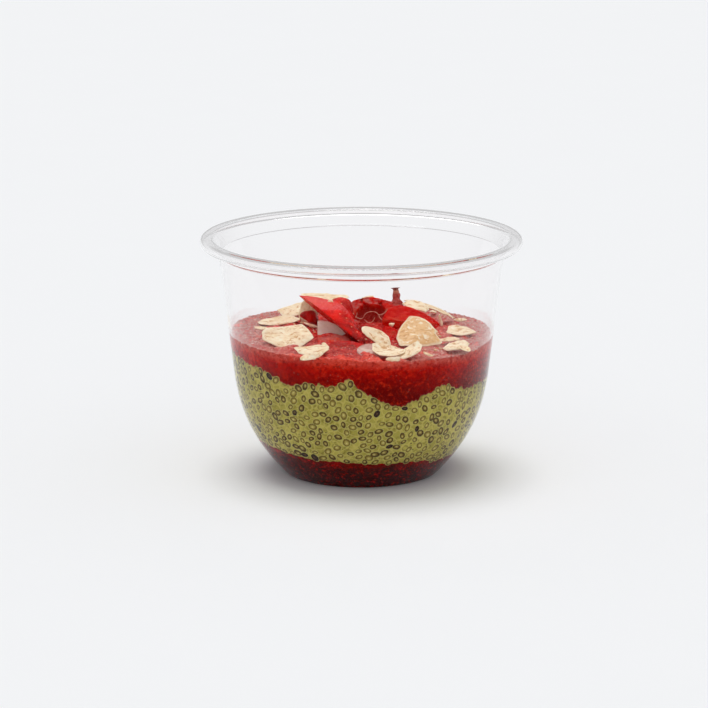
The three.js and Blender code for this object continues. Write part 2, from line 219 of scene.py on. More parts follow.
def new_material(name):
    """A material with its tree, its shader and the piece's own coordinates."""
    material = bpy.data.materials.new(name)
    material.use_nodes = True
    tree = material.node_tree
    shader = tree.nodes["Principled BSDF"]
    place = tree.nodes.new("ShaderNodeTexCoord").outputs["Object"]
    return material, tree, shader, place


def join(tree, value, socket):
    """Puts a value into a socket, or links it where it is another node's output."""
    if isinstance(value, bpy.types.NodeSocket):
        tree.links.new(value, socket)
    else:
        socket.default_value = value


def add_node(tree, kind, inputs=None, **settings):
    node = tree.nodes.new("ShaderNode" + kind)
    for key, value in settings.items():
        setattr(node, key, value)
    for name, value in (inputs or {}).items():
        join(tree, value, node.inputs[name])
    return node


def noise_value(tree, place, size, detail=2.0, roughness=0.5):
    """Cloudy noise from 0 to 1, with features of a size in millimetres."""
    inputs = {"Vector": place, "Scale": 1 / (size * MM), "Detail": detail, "Roughness": roughness}
    return add_node(tree, "TexNoise", inputs).outputs["Fac"]


def noise_colour(tree, place, size):
    return add_node(tree, "TexNoise", {"Vector": place, "Scale": 1 / (size * MM)}).outputs["Color"]


def cells(tree, place, size, feature="F1"):
    """Distance from the middle or the edge of cells of a size in millimetres."""
    inputs = {"Vector": place, "Scale": 1 / (size * MM)}
    return add_node(tree, "TexVoronoi", inputs, feature=feature).outputs["Distance"]


def calculate(tree, operation, first, second):
    node = add_node(tree, "Math", operation=operation)
    join(tree, first, node.inputs[0])
    join(tree, second, node.inputs[1])
    return node.outputs[0]


def rescale(tree, value, low, high, to_low=0.0, to_high=1.0):
    """Maps low..high to to_low..to_high with soft ends."""
    inputs = {"Value": value, "From Min": low, "From Max": high, "To Min": to_low, "To Max": to_high}
    return add_node(tree, "MapRange", inputs, interpolation_type="SMOOTHSTEP").outputs["Result"]


def ramp(tree, value, stops):
    """Colour along a value, from (position, colour) stops."""
    node = add_node(tree, "ValToRGB", {"Fac": value})
    elements = node.color_ramp.elements
    while len(elements) < len(stops):
        elements.new(0.5)
    for element, (position, colour) in zip(elements, stops):
        element.position = position
        element.color = colour
    return node.outputs["Color"]


def blend(tree, share, first, second, how="MIX"):
    node = add_node(tree, "Mix", data_type="RGBA", blend_type=how)
    join(tree, share, node.inputs["Factor"])
    join(tree, first, node.inputs["A"])
    join(tree, second, node.inputs["B"])
    return [socket for socket in node.outputs if socket.type == "RGBA"][0]


def attribute(tree, name, output="Fac"):
    return add_node(tree, "Attribute", attribute_name=name).outputs[output]


def bump(tree, height, distance):
    """Relief of a depth in millimetres."""
    inputs = {"Height": height, "Distance": distance * MM, "Strength": 1.0}
    return add_node(tree, "Bump", inputs).outputs["Normal"]


def set_shader(tree, shader, **sockets):
    """Sets the shader's sockets; an underscore in a name stands for a blank."""
    for name, value in sockets.items():
        join(tree, value, shader.inputs[name.replace("_", " ")])


# ---- The plastic's outline ----

def cubic(points, count):
    """Points along a cubic curve, without its start."""
    a, b, c, d = (np.array(point) for point in points)
    t = np.linspace(0, 1, count + 1)[1:, None]
    return (1 - t) ** 3 * a + 3 * (1 - t) ** 2 * t * b + 3 * (1 - t) * t ** 2 * c + t ** 3 * d


def quadratic(points, count):
    """Points along a quadratic curve, without its start."""
    a, b, c = (np.array(point) for point in points)
    t = np.linspace(0, 1, count + 1)[1:, None]
    return (1 - t) ** 2 * a + 2 * (1 - t) * t * b + t ** 2 * c


def softened(points, radius, count=3):
    """The line with each inner corner rounded off."""
    result = [points[0]]
    for before, corner, after in zip(points, points[1:], points[2:]):
        back, ahead = before - corner, after - corner
        reach = min(radius, 0.4 * np.linalg.norm(back), 0.4 * np.linalg.norm(ahead))
        start = corner + back / np.linalg.norm(back) * reach
        end = corner + ahead / np.linalg.norm(ahead) * reach
        result += [start, *quadratic([start, corner, end], count)]
    return np.array([*result, points[-1]])


def sheet_middle():
    """Middle line of the sheet, from the axis across the foot, up the wall and round the rolled rim."""
    low = SHEET / 2
    top = POT_HEIGHT - SHEET / 2
    edge = RIM_RADIUS - SHEET / 2
    ledge = (SHOULDER["radius"] + SHOULDER["step"], SHOULDER["height"] + SHOULDER["rise"])
    neck = (NECK["radius"], NECK["height"])
    foot = np.array([
        (0, PUNT["rise"] + low), (PUNT["radius"], PUNT["rise"] + low),
        (FOOT["inner"], low), (FOOT["outer"], low), BELLY[0],
    ])
    wall = cubic(BELLY, 26)
    shoulder = np.array([(SHOULDER["radius"], SHOULDER["height"]), ledge, neck])
    side = (edge, top - FLANGE["droop"] / 2)
    rim = np.vstack([
        quadratic([neck, (NECK["radius"] + NECK["flare"], top), (FLANGE["inner"], top)], 6),
        [(FLANGE["outer"], top)],
        quadratic([(FLANGE["outer"], top), (edge, top), side], 8),
        quadratic([side, (edge, top - FLANGE["droop"]), (FLANGE["lip"], top - FLANGE["droop"])], 8),
    ])
    lower_part = softened(np.vstack([foot, wall[:1]]), 0.4)
    upper_part = softened(np.vstack([wall[-2:], shoulder, rim[:1]]), 0.14)
    return np.vstack([lower_part, wall[1:-2], upper_part, rim[1:]])


def beside(line, distance):
    """Line beside a line, at a distance to the left of its direction."""
    steps = np.diff(line, axis=0)
    normals = np.column_stack([-steps[:, 1], steps[:, 0]]) / np.linalg.norm(steps, axis=1)[:, None]
    before = np.vstack([normals[:1], normals])
    after = np.vstack([normals, normals[-1:]])
    return line + (before + after) * (distance / (1 + (before * after).sum(1)))[:, None]


MIDDLE = sheet_middle()
REACH = beside(MIDDLE, SHEET / 2 - INTO_WALL)  # where the contents end, inside the plastic
WALL_START = int(np.argmin(np.abs(MIDDLE[:, 0] - FOOT["outer"])))
REACH_WALL = REACH[WALL_START:][np.argsort(REACH[WALL_START:, 1], kind="stable")]
REACH_FLOOR = REACH[:WALL_START]


def reach_radius(height):
    """Radius of the contents at a height on the wall."""
    return np.interp(height, REACH_WALL[:, 1], REACH_WALL[:, 0])


# ---- The layers' surfaces ----

def wall_height(boundary, degrees):
    """Height where a boundary meets the wall, at angles in degrees."""
    height = boundary["mean"] + boundary["lean"] * np.cos(np.radians(degrees))
    for at, width, rise in boundary["waves"]:
        apart = (degrees - at + 180) % 360 - 180
        height = height + rise * np.exp(-((apart / width) ** 2))
    return height


def ragged(degrees, seed, height):
    """Fine ragged edge round the pot: many small waves of unlike lengths."""
    random = np.random.default_rng(seed)
    edge, power = 0, 0
    for waves in range(FEWEST_WAVES, MOST_WAVES, WAVE_STEP):
        turns = waves + random.integers(0, WAVE_STEP)
        size = random.normal() * (FEWEST_WAVES / turns) ** 0.35
        edge = edge + size * np.cos(np.radians(degrees) * turns + random.uniform(0, 2 * np.pi))
        power += size ** 2 / 2
    return edge / math.sqrt(power) * height


def edge_of(boundary):
    """Gives the function for a boundary's height at the wall, at angles in degrees."""
    def edge(degrees):
        return wall_height(boundary, degrees) + ragged(degrees, *boundary["ragged"])
    return edge


lower_edge, upper_edge, fill_edge = map(edge_of, (LOWER_BOUNDARY, UPPER_BOUNDARY, FILL_LEVEL))


def turned_body(name, columns, rows):
    """Rolls a sheet into a closed body: each of its rows goes to the radius and height that rows gives.

    rows holds functions of the angle in degrees, from the top pole down to the bottom pole. The
    piece comes back with each corner's row and angle, and its seam is still open.
    """
    deselect_all()
    bpy.ops.mesh.primitive_grid_add(x_subdivisions=columns, y_subdivisions=len(rows) - 1, size=2)
    piece = named(name)
    points = coordinates(piece) * MM
    degrees = points[:, 0] * 180
    row = np.rint((1 - points[:, 1]) / 2 * (len(rows) - 1)).astype(int)
    shaped = np.zeros_like(points)
    for index, place in enumerate(rows):
        here = row == index
        radius, height = place(degrees[here])
        shaped[here, 0], shaped[here, 1] = round_axis(degrees[here], radius)
        shaped[here, 2] = height
    set_coordinates(piece, shaped)
    return piece, row, degrees


def close_seams(piece):
    """Merges the two sides of a rolled sheet and its poles, and turns the faces outwards."""
    make_active(piece)
    bpy.ops.object.mode_set(mode="EDIT")
    bpy.ops.mesh.select_all(action="SELECT")
    bpy.ops.mesh.remove_doubles(threshold=0.003 * MM)
    bpy.ops.mesh.normals_make_consistent(inside=False)
    bpy.ops.object.mode_set(mode="OBJECT")


def surface_rows(edge, crown, fractions):
    """Rows of a layer's surface; fractions run from 0 on the axis to 1 at the wall."""
    def row(fraction):
        def place(degrees):
            height = edge(degrees)
            return reach_radius(height) * fraction, crown + (height - crown) * fraction ** 2
        return place
    return [row(fraction) for fraction in fractions]


def wall_rows(high, low, count):
    """Rows down the wall between two edges, without the edges themselves."""
    def row(share):
        def place(degrees):
            height = high(degrees) * (1 - share) + low(degrees) * share
            return reach_radius(height), height
        return place
    return [row((index + 1) / (count + 1)) for index in range(count)]


# ---- Toppings ----

# Strawberry pieces, each cut from a berry of its own. "stem" and "tip" are the ends of the berry's
# axis, "face" points out of the main cut, "spread" turns a second cut that leaves a wedge, "slice" is
# the thickness of a slice, and each trim is a further cut: the way it faces and its distance. "seeds"
# is the share of seeds left on it and "rough" scales its unevenness. "deep_and_shade" darkens all of
# it, a deeper red with painted shade, and "shaded_end" darkens its tip as painted shade.
# "painted_sheen" pales its upper side as a painted highlight, "smear" pales it too, and "hollow" is
# the open middle's half size, depth and place.
BERRIES = {
    "strawberry_long_wedge": {
        "radius": 6.4, "stem": (-22.3, 5.9, 55.3), "tip": (1.6, -23.4, 42.0),
        "face": (-0.675, -0.231, -0.697), "trims": [((0, 0, 1), 51.9)], "painted_sheen": 0.25, "seeds": 0.3,
        "shaded_end": 0.9,
    },
    "strawberry_hollow_half": {
        "radius": 5.1, "stem": (-4.6, 5.0, 47.4), "tip": (15.4, 3.6, 47.2), "face": (0, -0.74, 0.67),
        "hollow": {"half": (3.9, 5.4), "depth": 3.3, "middle": (-1.0, -2.0)}, "smear": 0.9, "painted_sheen": 0.6,
        "deep_and_shade": 0.35,
    },
    "strawberry_centre_chunk": {
        "radius": 4.6, "stem": (-8.4, 3.0, 49.4), "tip": (-3.4, -7.0, 45.4), "face": (-0.2, 0.4, -0.9),
        "painted_sheen": 0.4, "rough": 2.4, "seeds": 0.3, "deep_and_shade": 0.6,
    },
    "strawberry_right_wedge": {
        "radius": 5.8, "spread": -115, "stem": (6.2, -2.5, 46.2), "tip": (23.6, -3.0, 44.8),
        "face": (0.1, -0.7, 0.7), "painted_sheen": 0.5, "deep_and_shade": 0.3,
    },
    "strawberry_pale_slice": {
        "radius": 6.6, "slice": 2.4, "stem": (-18.0, -12.4, 42.0), "tip": (-1.5, -12.0, 42.2),
        "face": (0, -0.86, 0.5), "trims": [((-1, 0, 0), 13.0), ((0, 0, -1), -41.6)],
        "kind": "pale_strawberry",
    },
    "strawberry_dark_chunk": {
        "radius": 3.0, "stem": (-16.2, 5.0, 45.2), "tip": (-15.2, 0.0, 44.8), "face": (-0.4, -0.1, -0.9),
        "rough": 2.0, "seeds": 0.3, "painted_sheen": 0.6, "deep_and_shade": 1.0,
    },
    "strawberry_flat_slice_left": {
        "radius": 3.4, "slice": 1.8, "stem": (-13.0, -18.8, 44.3), "tip": (-3.0, -19.6, 44.1),
        "face": (0, -0.35, 0.93), "painted_sheen": 0.7, "deep_and_shade": 0.7, "smear": 0.5,
    },
    "strawberry_flat_slice_front": {
        "radius": 3.6, "slice": 2.0, "stem": (-9.6, -26.4, 43.8), "tip": (2.0, -26.0, 43.8),
        "face": (0, -0.25, 0.97), "smear": 0.2, "deep_and_shade": 0.8,
    },
    "strawberry_clear_slice": {
        "radius": 3.0, "slice": 1.2, "stem": (-1.4, -31.4, 44.0), "tip": (10.2, -32.8, 43.4),
        "face": (-0.05, -0.45, 0.9), "kind": "clear_strawberry",
    },
    "strawberry_small_chunk": {
        "radius": 2.9, "stem": (6.2, -16.0, 44.9), "tip": (11.4, -14.2, 45.3), "face": (-0.2, -0.7, 0.7),
        "deep_and_shade": 0.5,
    },
}

# Colours on screen across each kind of swollen chia seed, from its middle outwards, and of its gel edge: the
# pale middle is partly a painted highlight and the dark ring partly painted shade at the seed's edge
SEED_COLOURS = {
    "pale": [(0.0, (252, 240, 168)), (0.22, (222, 208, 116)), (0.4, (196, 178, 88)), (0.56, (138, 116, 50)),
             (0.72, (142, 122, 54))],
    "strong": [(0.0, (246, 230, 150)), (0.2, (204, 186, 98)), (0.38, (150, 126, 60)), (0.52, (90, 68, 28)),
               (0.72, (84, 60, 26))],
    "black": [(0.0, (116, 86, 51)), (0.3, (65, 38, 21)), (0.6, (39, 14, 9)), (0.74, (46, 23, 11))],
}
SEED_EDGE = [(0.84, (236, 228, 136)), (1.0, (216, 207, 104))]

# Colours on screen of each kind of strawberry: skin, deep skin, flesh, core and the painted highlight on its
# upper side
BERRY_COLOURS = {
    "strawberry": [(255, 20, 4), (216, 8, 4), (246, 22, 6), (230, 66, 38), (238, 86, 54)],
    "pale_strawberry": [(236, 160, 142), (255, 238, 220), (255, 244, 230), (255, 244, 230), (250, 216, 196)],
    "clear_strawberry": [(190, 128, 118), (206, 158, 146), (220, 182, 170), (232, 202, 188), (242, 216, 202)],
}

# Colours on screen of each puree: bright, middle, dark and froth; bright to dark is painted shade, lighter at
# the lit top and darker deeper down
PUREE_COLOURS = {
    "lower_puree": [(252, 26, 10), (204, 8, 4), (76, 5, 4), (236, 96, 66)],
    "strawberry_puree": [(255, 66, 36), (216, 18, 12), (132, 9, 9), (176, 104, 96)],
}

# Almond flakes: "along" is the long axis, "face" the upper side, "outline" the corners in the flake's
# own plane, "curl" how far the ends rise and "tan" how brown it is. Each fold bends what lies beyond
# a line: its direction in degrees, its distance and its slope.
FLAKE_THICKNESS = 0.8
FLAKES = {
    "almond_flake_top": {
        "outline": [(-7.3, 3.4), (-4.4, 4.3), (1.6, 3.4), (6.8, 1.4), (7.3, -0.9), (4.6, -3.6), (-1.6, -4.4),
                    (-6.2, -2.6)],
        "centre": (-10.9, 5.6, 51.3), "along": (1, 0.05, -0.11), "face": (0, -0.1, 1), "curl": 0.4,
    },
    "almond_flake_leaning": {
        "outline": [(0.7, 3.3), (3.4, 2.6), (4.7, -0.4), (2.9, -2.9), (-1.4, -3.0), (-4.2, -2.1), (-4.8, 0.3),
                    (-2.8, 2.4)],
        "centre": (-15.6, 7.6, 47.0), "along": (0.45, 0.1, 0.88), "face": (-0.3, -0.9, 0.25), "curl": 0.2,
    },
    "almond_flake_left": {
        "outline": [(-7.1, -0.5), (-4.9, 2.3), (-0.6, 3.5), (4.2, 3.0), (6.3, -0.3), (5.7, -2.8), (2.4, -3.6),
                    (-0.4, -3.1), (-3.8, -3.4), (-6.6, -2.2)],
        "centre": (-24.6, 6.2, 43.9), "along": (13.2, 3.3, 0.5), "face": (0, -0.12, 1), "curl": 0.4,
        "folds": [(80, 1.4, 0.16), (-70, 1.8, 0.2)],
    },
    "almond_flake_back_left": {
        "outline": [(-4.6, 1.2), (-2.4, 2.9), (1.6, 3.6), (4.1, 3.3), (4.4, -2.3), (1.5, -3.5), (-2.6, -2.6)],
        "centre": (-21.2, 15.0, 45.2), "along": (0.95, -0.1, 0.25), "face": (-0.2, -0.3, 0.9), "curl": 0.4,
    },
    "almond_flake_large_left": {
        "outline": [(-7.6, 2.4), (-6.4, 4.1), (0.2, 5.2), (4.3, 5.6), (6.2, 2.8), (7.6, -0.9), (4.2, -3.7),
                    (0.0, -5.5), (-4.0, -3.6), (-7.5, -0.8)],
        "centre": (-21.4, -19.8, 44.7), "along": (1, 0.04, 0.02), "face": (-0.03, -0.4, 0.91), "curl": 0.6,
        "folds": [(100, 2.6, 0.22), (-60, 2.8, -0.16)],
    },
    "almond_flake_front_left": {
        "outline": [(-5.2, 0.8), (-1.9, 2.6), (1.5, 3.4), (3.7, 2.1), (5.6, -0.8), (3.8, -2.8), (0.4, -3.2),
                    (-3.3, -2.0)],
        "centre": (-14.6, -31.2, 43.5), "along": (1, -0.12, -0.05), "face": (0, -0.22, 1), "curl": 0.3,
        "folds": [(20, 0.6, 0.25), (-110, 1.0, -0.1)],
    },
    "almond_petal": {
        "outline": [(4.7, 1.6), (5.1, 0.7), (4.6, -0.4), (2.8, -1.8), (0.2, -3.1), (-2.3, -3.0), (-4.8, -1.2),
                    (-4.2, 1.2), (-1.6, 1.9), (1.3, 2.2), (3.6, 2.2)],
        "centre": (4.3, -22.0, 45.5), "along": (-6.1, 3.6, 4.6), "face": (0.2, -0.6, 0.75), "curl": 0.3,
        "folds": [(90, 0.9, 0.2)],
    },
    "almond_flake_large_right": {
        "outline": [(-2.2, 6.9), (0.8, 5.8), (2.2, 4.9), (3.9, 2.7), (5.2, 0.4), (4.7, -0.6), (6.4, -3.4),
                    (5.6, -4.3), (0.3, -5.3), (-3.3, -5.7), (-6.2, -5.1), (-6.9, -0.9), (-6.0, 2.1),
                    (-4.3, 4.6)],
        "centre": (16.9, -19.4, 46.4), "along": (0.92, 0.1, 0.02), "face": (-0.05, -0.52, 0.85), "curl": 0.4,
        "tan": 1.0, "folds": [(-38, 0.4, -0.3), (165, 3.4, -0.3), (70, 3.6, 0.2)],
    },
    "almond_flake_front": {
        "outline": [(-5.2, 1.5), (-3.5, 2.7), (0.3, 2.7), (3.4, 1.7), (4.6, 0.8), (4.6, -1.2), (2.7, -2.9),
                    (0.2, -3.4), (-2.6, -3.5), (-4.9, -1.6)],
        "centre": (8.0, -32.2, 43.6), "along": (1, -0.1, -0.12), "face": (0.1, -0.25, 0.96), "curl": 0.5,
        "folds": [(100, 1.0, 0.3), (-20, 2.4, 0.25)],
    },
    "almond_flake_front_right": {
        "outline": [(-3.4, 1.8), (0.4, 1.9), (3.5, 1.9), (4.0, -0.3), (2.6, -2.4), (0.2, -2.8), (-2.7, -2.8),
                    (-4.7, -1.4)],
        "centre": (13.8, -32.4, 43.7), "along": (0.9, 0.25, 0.28), "face": (-0.25, -0.35, 0.9), "curl": 0.4,
        "folds": [(70, 0.6, 0.3)],
    },
    "almond_flake_back_long": {
        "outline": [(-8.5, 0.3), (-5.0, 2.4), (0.5, 3.6), (5.5, 2.6), (8.5, -0.2), (5.0, -2.6), (-0.5, -3.7),
                    (-5.5, -2.2)],
        "centre": (20.6, 8.0, 48.0), "along": (14.9, -4, -6.4), "face": (0.3, 0.1, 0.9), "curl": -0.9,
    },
    "almond_flake_back_short": {
        "outline": [(-4.3, -0.2), (-2.4, 2.4), (1.2, 2.6), (4.3, 0.3), (3.4, -2.0), (-1.4, -2.6)],
        "centre": (16.4, 4.6, 49.2), "along": (7, -1, -3), "face": (0.1, -0.35, 0.92), "curl": -0.4,
    },
    "almond_flake_right": {
        "outline": [(-4.4, -1.3), (-3.9, 2.6), (-1.9, 3.5), (1.8, 2.2), (4.2, -0.1), (4.9, -1.6), (2.8, -3.3),
                    (-0.5, -3.4), (-3.4, -2.8)],
        "centre": (29.6, -5.4, 43.5), "along": (1, -0.1, -0.05), "face": (-0.05, -0.2, 0.98), "curl": 0.3,
        "folds": [(90, 1.2, 0.22), (-90, 1.4, 0.12)],
    },
    "almond_flake_front_far_right": {
        "outline": [(-3.6, -1.6), (-1.3, 0.6), (1.8, 1.7), (3.9, 1.1), (4.7, -1.0), (3.4, -2.9), (0.5, -3.1),
                    (-2.4, -2.9)],
        "centre": (26.6, -21.8, 43.1), "along": (0.95, 0.25, 0), "face": (0, -0.3, 0.96), "curl": 0.4,
        "folds": [(110, 0.4, 0.25)],
    },
}

# Small broken bits of almond between the flakes: size, centre, long axis, upper side and thickness
BITS = [
    ((1.8, 1.5), (9.0, -8.4, 46.1), (1, 0.2, 0.3), (0.2, -0.6, 0.8), 1.1),
    ((3.6, 2.2), (-9.5, -2.9, 51.0), (0.42, -0.1, 0.9), (-0.2, -0.95, 0.3), 0.6),
    ((4.6, 1.8), (2.2, 9.0, 50.7), (1, 0, 0.12), (0, -0.5, 0.86), 0.6),
    ((5.4, 1.0), (-14.9, -2.6, 44.7), (0.9, -0.42, 0.05), (0, -0.5, 0.9), 0.4),
    ((9.5, 2.6), (-14.6, -36.2, 42.9), (1, 0.33, -0.02), (0, -0.75, 0.66), 0.5),
    ((5.0, 1.8), (-10.6, -27.4, 44.3), (0.35, -0.94, 0), (0, -0.2, 0.97), 0.4),
    ((6.6, 2.0), (9.2, -37.2, 42.4), (1, -0.22, 0.1), (0, -0.8, 0.6), 0.5),
    ((5.2, 1.2), (19.2, -33.4, 43.0), (0.7, -0.7, 0.02), (0, -0.2, 1), 0.5),
    ((7.0, 2.6), (25.8, -17.4, 43.8), (1, 0, 0.03), (0, -0.3, 0.95), 0.4),
    ((6.4, 3.0), (30.0, -25.6, 42.9), (0.5, -0.86, 0), (0.1, -0.3, 0.95), 0.4),
    ((4.6, 1.4), (23.6, 2.0, 45.4), (-0.25, 0, 1), (0.5, -0.86, 0.1), 0.6),
    ((4.4, 1.4), (29.6, 3.0, 45.0), (1, 0, -0.1), (0, -0.5, 0.86), 0.5),
    ((5.0, 2.4), (-30.0, -1.0, 43.4), (0.9, -0.4, 0), (0, -0.2, 0.98), 0.6),
    ((3.2, 1.8), (12.0, 20.0, 44.6), (0.8, 0.6, 0), (0, 0.2, 0.98), 0.6),
    ((6.2, 3.4), (-3.0, 24.0, 44.4), (0.9, -0.3, 0.05), (0, 0.2, 0.98), 0.6),
    ((4.0, 2.2), (22.0, 20.0, 43.8), (0.3, 0.9, 0), (0.1, 0.1, 0.98), 0.6),
]

GRAIN = (0.19, 0.13, 0.32)  # half the width, thickness and length of a strawberry's seed
PIT = {"depth": 0.2, "width": 0.55, "margin": 0.45}  # that each seed lies in, and its distance from a cut
BERRY_MESH = 0.24  # fineness of the strawberries' mesh
GOLDEN_ANGLE = math.radians(137.5)  # from one seed to the next

# Pale fibres hanging across the open berry, each through its points
FIBRES = [
    [(-1.9, 1.3, 46.4), (0.2, 0.9, 46.0), (1.3, 0.8, 47.5), (3.1, 0.9, 48.1), (4.3, 0.8, 47.9),
     (5.5, 0.8, 47.1), (6.9, 0.9, 47.7), (7.8, 1.2, 48.7)],
    [(0.8, 0.5, 45.8), (2.4, 0.2, 44.8), (3.4, 0.3, 45.3), (4.1, 0.6, 46.4)],
    [(-3.4, -0.6, 47.2), (-2.6, -1.2, 46.4), (-1.7, -0.8, 46.8), (-1.2, 0.2, 47.9)],
    [(5.2, 2.0, 46.6), (6.2, 1.2, 45.6), (7.6, 1.0, 45.9)],
]
FIBRE_RADIUS = 0.16

STALK = {"foot": (10.8, 7.2, 46.6), "top": (10.3, 8.4, 53.9), "radius": 1.05, "cap": 1.5}


def placed(centre, front, up):
    """Matrix that stands local Z on "up" and turns local X towards "front", at a place in millimetres."""
    z = Vector(up).normalized()
    y = z.cross(Vector(front)).normalized()
    x = y.cross(z)
    return Matrix.Translation(Vector(centre) * MM) @ Matrix((x, y, z)).transposed().to_4x4()


def berry_swell(along):
    """Share of its full radius that a berry has at a share of its length from the stem."""
    return np.maximum(np.sin(np.pi * np.clip(along, 0, 1) ** 0.66), 0) ** 0.75


def cut_away(piece, point, way):
    """Cuts off what lies beyond a plane and closes the cut."""
    make_active(piece)
    bpy.ops.object.mode_set(mode="EDIT")
    bpy.ops.mesh.select_all(action="SELECT")
    bpy.ops.mesh.bisect(
        plane_co=Vector(point) * MM, plane_no=Vector(way), use_fill=True, clear_outer=True,
        threshold=0.0001 * MM,
    )
    bpy.ops.object.mode_set(mode="OBJECT")


def seed_pits(length, radius):
    """Places of the seeds on a whole berry's skin: a spiral with even spacing."""
    count = int(length * radius * 2 * math.pi * 0.72 / 5.2)
    places = []
    for index in range(count):
        along = 0.06 + 0.9 * (index + 0.5) / count
        turn = index * GOLDEN_ANGLE
        reach = radius * float(berry_swell(along))
        places.append(Vector((reach * math.cos(turn), reach * math.sin(turn), (along - 0.5) * length)))
    return places


def berry_frame(spec):
    """Length of the whole berry, and the matrix from its own axes to the pot's."""
    axis = Vector(spec["tip"]) - Vector(spec["stem"])
    centre = (Vector(spec["tip"]) + Vector(spec["stem"])) / 2
    return axis.length, placed(centre, -Vector(spec["face"]), axis)


def berry_cuts(spec, matrix):
    """Every cut of a piece in the berry's own axes: a point on it and the way it faces."""
    cuts = [(Vector((0, 0, 0)), Vector((-1, 0, 0)))]
    if "spread" in spec:
        turn = math.radians(spec["spread"])
        cuts.append((Vector((0, 0, 0)), Vector((math.cos(turn), math.sin(turn), 0))))
    if "slice" in spec:
        cuts.append((Vector((spec["slice"], 0, 0)), Vector((1, 0, 0))))
    back = matrix.inverted()
    for way, distance in spec.get("trims", []):
        point = back @ (Vector(way) * distance * MM) / MM
        cuts.append((point, (back.to_3x3() @ Vector(way)).normalized()))
    return cuts


def berry_piece(name, spec):
    """One cut piece of strawberry, with pitted skin and fibrous flesh; gives also the pits left on it."""
    length, matrix = berry_frame(spec)
    radius = spec["radius"]
    seed = sum(map(ord, name)) % 97
    piece, ball = unit_ball(name, 56, 44)
    along = (ball[:, 2] + 1) / 2
    flat = ball[:, :2] / np.maximum(np.linalg.norm(ball[:, :2], axis=1), 1e-6)[:, None]
    reach = radius * berry_swell(along)
    shaped = np.column_stack([flat * reach[:, None], (along - 0.5) * length])
    set_coordinates(piece, shaped)
    cuts = berry_cuts(spec, matrix)
    for point, way in cuts:
        cut_away(piece, point, way)
    apply_modifier(piece, "REMESH", mode="VOXEL", voxel_size=BERRY_MESH * MM, adaptivity=0)
    apply_modifier(piece, "SMOOTH", factor=0.6, iterations=2)
    points = coordinates(piece)
    along = points[:, 2] / length + 0.5
    out = np.linalg.norm(points[:, :2], axis=1)
    full = radius * berry_swell(along)
    flesh = smooth(full - out, 0.2, 0.5)
    share = spec.get("seeds", 1.0)
    pits = [place for number, place in enumerate(seed_pits(length, radius))
            if number * share % 1 < share
            and all((place - point).dot(way) < -PIT["margin"] for point, way in cuts)]
    moved = points.copy()
    outward = np.column_stack([points[:, :2] / np.maximum(out, 1e-6)[:, None], np.zeros(len(points))])
    if pits:
        sites = np.array([list(place) for place in pits])
        nearest = np.sqrt(((points[:, None, :] - sites[None, :, :]) ** 2).sum(2)).min(1)
        moved -= outward * (PIT["depth"] * np.exp(-(nearest / PIT["width"]) ** 2) * (1 - flesh))[:, None]
    rough = np.array([noise.fractal(Vector(point) / 1.3 + Vector((seed, 0, 0)), 0.9, 2.1, 3)
                      for point in points])
    swell = np.array([noise.noise(Vector(point) / 3.4 + Vector((0, seed, 0))) for point in points])
    rise = 0.3 * swell + 0.05 * rough
    moved += outward * (spec.get("rough", 1.0) * rise * (1 - 0.5 * flesh))[:, None]
    for point, way in cuts[:1] + cuts[1:2] * ("spread" in spec or "slice" in spec):
        away = (points - np.array(point)) @ np.array(way)
        on_cut = smooth(away, -0.35, -0.1)
        sunk = 0.3 * (1 - (out / np.maximum(full, 0.1)) ** 2)
        moved -= np.array(way) * (on_cut * flesh * (sunk - 0.16 * rough))[:, None]
    if "hollow" in spec:
        hollow = spec["hollow"]
        from_middle = (points[:, 1:] - np.array(hollow["middle"])) / np.array(hollow["half"])
        wide = (from_middle ** 2).sum(1) * (1 + 0.9 * swell + 0.5 * rough)
        near_face = smooth(-points[:, 0], -0.6, -0.1)
        moved[:, 0] += near_face * hollow["depth"] * np.sqrt(np.clip(1 - wide, 0, 1)) * (1 + 0.3 * rough)
        set_attribute(piece, "hollow", near_face * smooth(1.1 - wide, 0, 0.5))
    set_coordinates(piece, moved)
    set_attribute(piece, "flesh", flesh)
    # Darkening: all over as a deeper red with painted shade, and towards the tip as painted shade
    deep_and_shade = spec.get("deep_and_shade", 0.0) + spec.get("shaded_end", 0.0) * smooth(along, 0.5, 0.9)
    set_attribute(piece, "deep_and_shade", np.minimum(deep_and_shade, 1))
    set_attribute(piece, "core", 1 - out / np.maximum(full, 0.1))
    set_vectors(piece, "own_place", points)
    piece.data.transform(matrix)
    piece.data.update()
    up = np.zeros(len(points) * 3)
    piece.data.vertex_normals.foreach_get("vector", up)
    upward = up.reshape(-1, 3)[:, 2]
    set_attribute(piece, "smear", spec.get("smear", 0.0) * smooth(upward, 0.2, 0.8))
    # Painted highlight: lighter marbling on the upward faces, where wet skin would catch the light from above
    set_attribute(piece, "painted_sheen", spec.get("painted_sheen", 0.0) * smooth(upward, 0.45, 0.95))
    turn = matrix.to_3x3()
    return piece, [(matrix @ (place * MM) / MM, (turn @ Vector((place.x, place.y, 0))).normalized(),
                    (turn @ Vector((0, 0, 1))).normalized()) for place in pits]


def joined_copies(context, name, shape, matrices, values):
    """One mesh of many copies of a small shape; values gives named numbers, one for each copy."""
    corners = np.array([list(vertex.co) + [1] for vertex in shape.data.vertices])
    stacked = np.vstack([(corners @ np.array(matrix).T)[:, :3] for matrix in matrices])
    piece = mesh_piece(context, name, stacked.tolist(), copied_faces(shape, len(matrices)))
    for key, each in values.items():
        set_attribute(piece, key, np.repeat(each, len(corners)))
    bpy.data.objects.remove(shape)
    return piece


